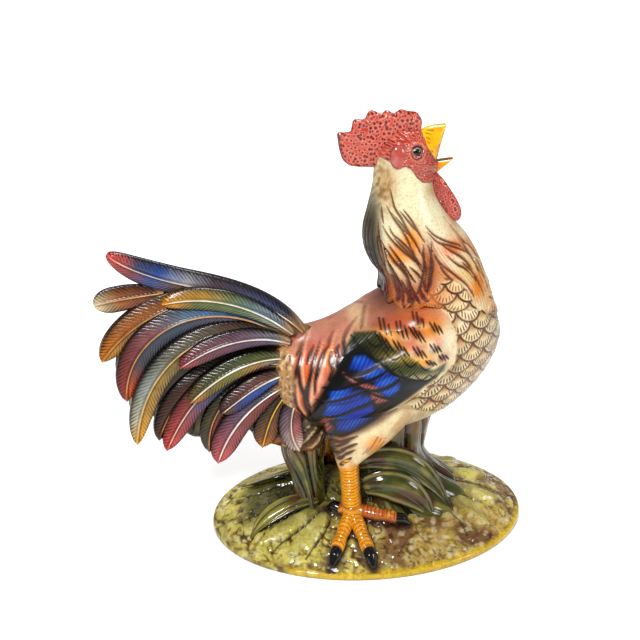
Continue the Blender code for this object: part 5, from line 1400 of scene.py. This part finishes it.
# Colours of the upper vane, of the lower vane and of the quill, from the root to the tip
FEATHER_COLOURS = {
    "covert_{}_1": ([(0, "C4CCD0"), (0.25, "7C98B0"), (0.5, "8CA078"), (0.7, "DCB04C"), (1, "E09A1C")],
                    [(0, "E8E8E0"), (0.2, "B4BCA0"), (0.45, "76905C"), (0.75, "7C8448"), (0.9, "D89A24"),
                     (1, "F0A81C")], "FFFDF4"),
    "covert_{}_2": ([(0, "C8D4E0"), (0.2, "9890A0"), (0.5, "8C6478"), (0.8, "905864"), (1, "A84C50")],
                    [(0, "A4C4E4"), (0.2, "7C6A92"), (0.5, "805070"), (0.8, "94505C"), (1, "C85C54")],
                    "FFF8EE"),
    "covert_{}_3": ([(0, "D0C098"), (0.2, "80884C"), (0.5, "5C6834"), (0.8, "5C5C2C"), (1, "8C6C24")],
                    [(0, "6C90AC"), (0.12, "8C9CA0"), (0.3, "D0A058"), (0.55, "8C8A2C"), (0.8, "948020"),
                     (1, "E0902C")], "FFF6E0"),
    "covert_{}_4": ([(0, "A8B4C0"), (0.2, "8C5C4C"), (0.6, "7C4640"), (1, "5C3A30")],
                    [(0, "9CB4DC"), (0.2, "2C78D0"), (0.5, "1458C0"), (0.75, "2C4C94"), (0.9, "6C4030"),
                     (1, "7C4030")], "FFF0DC"),
    "sickle_{}_1": ([(0, "5C3828"), (0.35, "7C4A20"), (0.6, "A86420"), (0.85, "C8781C"), (1, "D08420")],
                    [(0, "4C3028"), (0.4, "8C5A3C"), (0.65, "A47058"), (0.85, "B07C38"), (1, "C89024")],
                    "C89A5C"),
    "sickle_{}_2": ([(0, "4C4A5C"), (0.3, "4484BC"), (0.5, "7090A8"), (0.65, "A06A6C"), (0.85, "983C38"),
                     (1, "A83A2C")],
                    [(0, "7C5460"), (0.3, "6C6480"), (0.55, "3C5068"), (0.8, "4C4C5C"), (0.92, "B85428"),
                     (1, "D8642C")], "D8A864"),
    "sickle_{}_3": ([(0, "4C342C"), (0.3, "6C5440"), (0.55, "84806C"), (0.75, "B4BCB4"), (0.9, "D8D0B0"),
                     (1, "F4B82C")],
                    [(0, "6C4840"), (0.3, "74603C"), (0.55, "8C7C3C"), (0.8, "CCA040"), (1, "F6B428")],
                    "E8C47C"),
    "sickle_{}_4": ([(0, "3C281C"), (0.5, "4A2C1C"), (1, "5C3420")],
                    [(0, "2C1C14"), (0.5, "4C301E"), (1, "6C3C24")], "B08448"),
    "sickle_{}_5": ([(0, "4C302C"), (0.4, "84483C"), (0.7, "A44844"), (1, "E0524C")],
                    [(0, "3C2C28"), (0.35, "6C4440"), (0.5, "4C6CA4"), (0.65, "7C5C84"), (0.8, "C0585C"),
                     (1, "E45C54")], "E8DCC8"),
    "sickle_{}_6": ([(0, "2C2214"), (0.5, "4C441F"), (1, "5C5028")],
                    [(0, "2C201C"), (0.6, "4C3424"), (0.85, "B04C40"), (1, "C05848")], "D8A468"),
    "rump_{}_1": ([(0, "5C4438"), (0.25, "545C78"), (0.5, "7C6480"), (0.75, "B06070"), (1, "E46C68")],
                  [(0, "7C342C"), (0.3, "9C4840"), (0.6, "A85A5C"), (0.8, "C86468"), (1, "E87070")],
                  "FFF4E8"),
    "rump_{}_2": ([(0, "3C2C1C"), (0.5, "54401C"), (0.85, "946018"), (1, "D0841C")],
                  [(0, "3C2820"), (0.5, "7C4C28"), (0.85, "B06C20"), (1, "E09424")], "F0C850"),
    "rump_{}_3": ([(0, "3C2C2C"), (0.3, "6C5468"), (0.6, "A08088"), (0.85, "D8B8B0"), (1, "F0E4D4")],
                  [(0, "5C2C2C"), (0.35, "A04C50"), (0.7, "D07C78"), (1, "F4E4D0")], "F8E8C8"),
}
# The two on the ridge: root, heading, turn, slackening, length and width
CREST = (-17, 202, 126, 137, -123, 189.9, 25.0)
CREST_COLOURS = ([(0, "5C5460"), (0.25, "4C5C8C"), (0.5, "74606C"), (0.62, "C8C8D0"), (0.75, "2464B8"),
                  (0.86, "54587C"), (0.93, "D8605C"), (1, "E0605C")],
                 [(0, "7C8CA0"), (0.25, "56688C"), (0.5, "7A5A62"), (0.65, "8C6C5C"), (0.78, "3460A8"),
                  (0.88, "A85050"), (1, "D0544C")], "F0E4C8")
STUB = (-138, 248, 184, 7, 0, 61.9, 24.0)
STUB_COLOURS = ([(0, "2C1408"), (0.35, "8C4414"), (0.65, "B4661C"), (0.85, "D8B888"), (1, "E8D8B0")],
                [(0, "1C0E08"), (0.35, "9C4C14"), (0.65, "B87430"), (0.85, "E0C898"), (1, "ECDCB8")],
                "D8A868")


def along_stops(share, stops):
    """Colours between stops, given as a share of the length and hex digits."""
    marks = [mark for mark, _ in stops]
    shades = np.array([linear(colour) for _, colour in stops])
    return np.column_stack([np.interp(share, marks, shades[:, i]) for i in range(3)])


def quill(share, x, z, heading, turn, slackening, length):
    """Place and heading along a feather's quill."""
    steps = np.linspace(0, 1, 400)
    angles = np.radians(heading + turn * steps + slackening * steps ** 2)
    walk = length / (len(steps) - 1)
    xs = x + np.concatenate([[0], np.cumsum(np.cos(angles[:-1]) * walk)])
    zs = z + np.concatenate([[0], np.cumsum(np.sin(angles[:-1]) * walk)])
    angle = np.radians(heading + turn * share + slackening * share ** 2)
    return np.interp(share, steps, xs), np.interp(share, steps, zs), angle


def vane(share):
    """Width of a feather along its length, as a share of its full width."""
    swell = 0.34 + 0.66 * np.sin(math.pi / 2 * np.clip(share / 0.62, 0, 1))
    return swell * np.sqrt(np.clip(1 - (np.clip(share - 0.72, 0, 1) / 0.285) ** 2, 0, 1))


def combed_feather(share, length, across, half, colours):
    """Relief of quill and barbs, brushed colours with painted shade, and phase and strength of the barb
    lines.
    """
    upper, lower, quill_colour = colours
    side = np.abs(across) * half
    phase = (share * length - BARB_SLANT * side) / BARB_SPACING + 0.25 * np.sign(across)
    phase = phase + 0.14 * np.sin(share * length * 0.9 + across * 2) * np.abs(across)
    on_vane = step(side, 0.9, 2.0)
    barbs = (0.5 + 0.5 * np.cos(FULL_TURN * phase)) * on_vane
    relief = QUILL_RISE * hill(side, 0, QUILL_WIDTH) - VALLEY_DEPTH * hill(side, 2.0, 0.9)
    relief = relief - BARB_DEPTH * barbs
    paint = mix(along_stops(share, upper), along_stops(share, lower), step(across * half, -0.6, 0.6))
    paint = coats(paint, ("4E4238", 0.28 * (1 - step(share, 0.8, 1.0))))
    # Painted shade: the lower vane and the groove beside the quill are darker copies of the colour
    for shade in (0.85 * step(-across, 0.1, 1.0), 0.9 * hill(side, 1.6, 0.8)):
        paint = mix(paint, paint * 0.5, shade)
    narrow = 1 - 0.45 * share
    quill_line = (1 - step(side, 0.42 * narrow, 0.85 * narrow)) * (1 - step(share, 0.93, 0.99))
    fluff = (1 - step(share, 0.03, 0.16)) * (0.75 + 0.25 * np.sin(across * 9 + share * 40))
    # Near black along both edges and at the root: underglaze, and painted shade where feathers overlap
    paint = coats(
        paint, ("0E0806", 0.9 * step(np.abs(across), 0.66, 1.0) * (1 - step(share, 0.88, 0.99))),
        ("0E0806", 0.6 * (1 - step(share, 0.02, 0.22))), (quill_colour, quill_line), ("BC9464", 0.9 * fluff))
    outer = 0.45 + 0.55 * step(np.abs(across), 0.2, 0.8)
    return relief, paint, phase, on_vane * outer * (0.8 + 0.2 * np.sin(share * 17 + across * 3)) * (1 - fluff)


for name, (x, z, *bend, width), colours, halves, slot in (
        ("sickle_crest", CREST, CREST_COLOURS, (13.5, 6.0), "crest_sickle"),
        ("sickle_stub", STUB, STUB_COLOURS, (4.5, 3.5), "stub")):
    length = bend[-1]
    piece, share, turned = ball_grid("feather_" + name, int(1.7 * width / FEATHER_STEP) * 2,
                                     int(length / FEATHER_STEP))
    across = 1 - 4 * np.abs(turned - 0.5)
    near = np.sign(np.sin(FULL_TURN * turned))
    on_feather = np.clip(share / 0.985, 0, 1)
    quill_x, quill_z, angle = quill(on_feather, x, z, *bend)
    half = width / 2 * vane(on_feather) * 1.02
    thick = np.interp(on_feather, [0, 0.8, 1], [halves[0], halves[1], halves[1]]) * np.minimum(1, half / 6)
    ends = step(share, 0.0, 0.01) * (1 - step(share, 0.98, 1.0))
    edge = np.sqrt(np.clip(1 - np.abs(across) ** 2.4, 0, 1))
    relief, paint, phase, lines = combed_feather(on_feather, length, across, half, colours)
    points = np.column_stack([quill_x - np.sin(angle) * half * across, near * thick * edge * ends,
                              quill_z + np.cos(angle) * half * across])
    points[:, 1] += near * relief * ends * (1 - step(np.abs(across), 0.85, 1))
    shape(piece, points)
    brush(piece, paint, phase, lines)
    fit(piece, feather_glaze, slot, name)
for name, (layer, x, z, *bend, width) in FEATHERS.items():
    length = bend[-1]
    for side_name, side in SIDES:
        piece, share, turned = ball_grid("feather_" + name.format(side_name),
                                         int(width / FEATHER_STEP / TOP_SHARE) + 8,
                                         int(length / FEATHER_STEP))
        top = turned < TOP_SHARE
        across = np.where(top, 2 * turned / TOP_SHARE - 1, 1 - 2 * (turned - TOP_SHARE) / (1 - TOP_SHARE))
        on_feather = np.clip(share / 0.97, 0, 1)
        quill_x, quill_z, angle = quill(on_feather, x, z, *bend)
        half = width / 2 * vane(on_feather) * 1.03
        spot_x = quill_x - np.sin(angle) * half * across
        spot_z = quill_z + np.cos(angle) * half * across
        edge = 1 - step(np.abs(across), 0.9, 1.0)
        ends = step(share, 0.0, 0.01) * (1 - step(share, 0.985, 1.0))
        crown = (1 - 0.55 * np.abs(across) ** 1.4) * (0.25 + 0.75 * edge) * ends
        floor = tail_place(spot_x, spot_z, layer - 1 - 0.25)
        roof = tail_place(spot_x, spot_z, layer + 0.12)
        relief, paint, phase, lines = combed_feather(on_feather, length, across, half, FEATHER_COLOURS[name])
        points = floor + (roof - floor) * np.where(top, crown, 0.0)[:, None]
        points[:, 1] -= np.where(top, relief * ends * edge, 0)
        points[:, 1] *= side
        shape(piece, points)
        brush(piece, paint, phase, lines * top)
        fit(piece, feather_glaze, name.replace("_{}", ""), name.format(side_name))

# The studio
# A sweep of white paper under soft lamps. The camera sees it white, and near the bird it takes the shadow.
NEAR_GLOW = 0.35
GLOW_STARTS = 0.25
GLOW_FULL = 1.3
SKY_LEVEL = 0.2
LAMPS = [
    ("window", (-0.7, -1.1, 1.35), 0.32, 25.0),
    ("bounce", (1.2, -0.9, 0.7), 0.5, 6.5),
    ("overhead", (0.2, 0.5, 1.6), 0.5, 14.0),
]

bpy.ops.mesh.primitive_plane_add(size=12)
paper = bpy.context.object
paper.name = "paper_floor"
white = bpy.data.materials.new("white_paper")
white.use_nodes = True
tree = white.node_tree
shader = tree.nodes["Principled BSDF"]
shader.inputs["Base Color"].default_value = (0.9, 0.9, 0.9, 1)
shader.inputs["Roughness"].default_value = 0.9
shader.inputs["Specular IOR Level"].default_value = 0.0
rays = add(tree, "ShaderNodeLightPath")
place = add(tree, "ShaderNodeTexCoord")
away = add(tree, "ShaderNodeVectorMath", [("Vector", place.outputs["Object"])], operation="LENGTH")
glow = add(tree, "ShaderNodeMapRange", [("Value", away.outputs["Value"])],
           From_Min=GLOW_STARTS, From_Max=GLOW_FULL, To_Min=NEAR_GLOW, To_Max=1.0)
seen = add(tree, "ShaderNodeMath", [(0, rays.outputs["Is Camera Ray"]), (1, glow.outputs["Result"])],
           operation="MULTIPLY")
shader.inputs["Emission Color"].default_value = (1, 1, 1, 1)
tree.links.new(seen.outputs["Value"], shader.inputs["Emission Strength"])
paper.data.materials.append(white)
for name, place, size, power in LAMPS:
    bpy.ops.object.light_add(type="AREA", location=place)
    lamp = bpy.context.object
    lamp.name = name
    lamp.data.size = size
    lamp.data.energy = power
    lamp.rotation_euler = (Vector(place) - Vector((0, 0, 0.2))).to_track_quat("Z", "Y").to_euler()
world = bpy.data.worlds.new("studio")
world.use_nodes = True
bpy.context.scene.world = world
tree = world.node_tree
sky = tree.nodes["Background"]
rays = add(tree, "ShaderNodeLightPath")
sky.inputs["Color"].default_value = (1, 1, 1, 1)
level = add(tree, "ShaderNodeMapRange", [("Value", rays.outputs["Is Camera Ray"])],
            To_Min=SKY_LEVEL, To_Max=1.0)
tree.links.new(level.outputs["Result"], sky.inputs["Strength"])
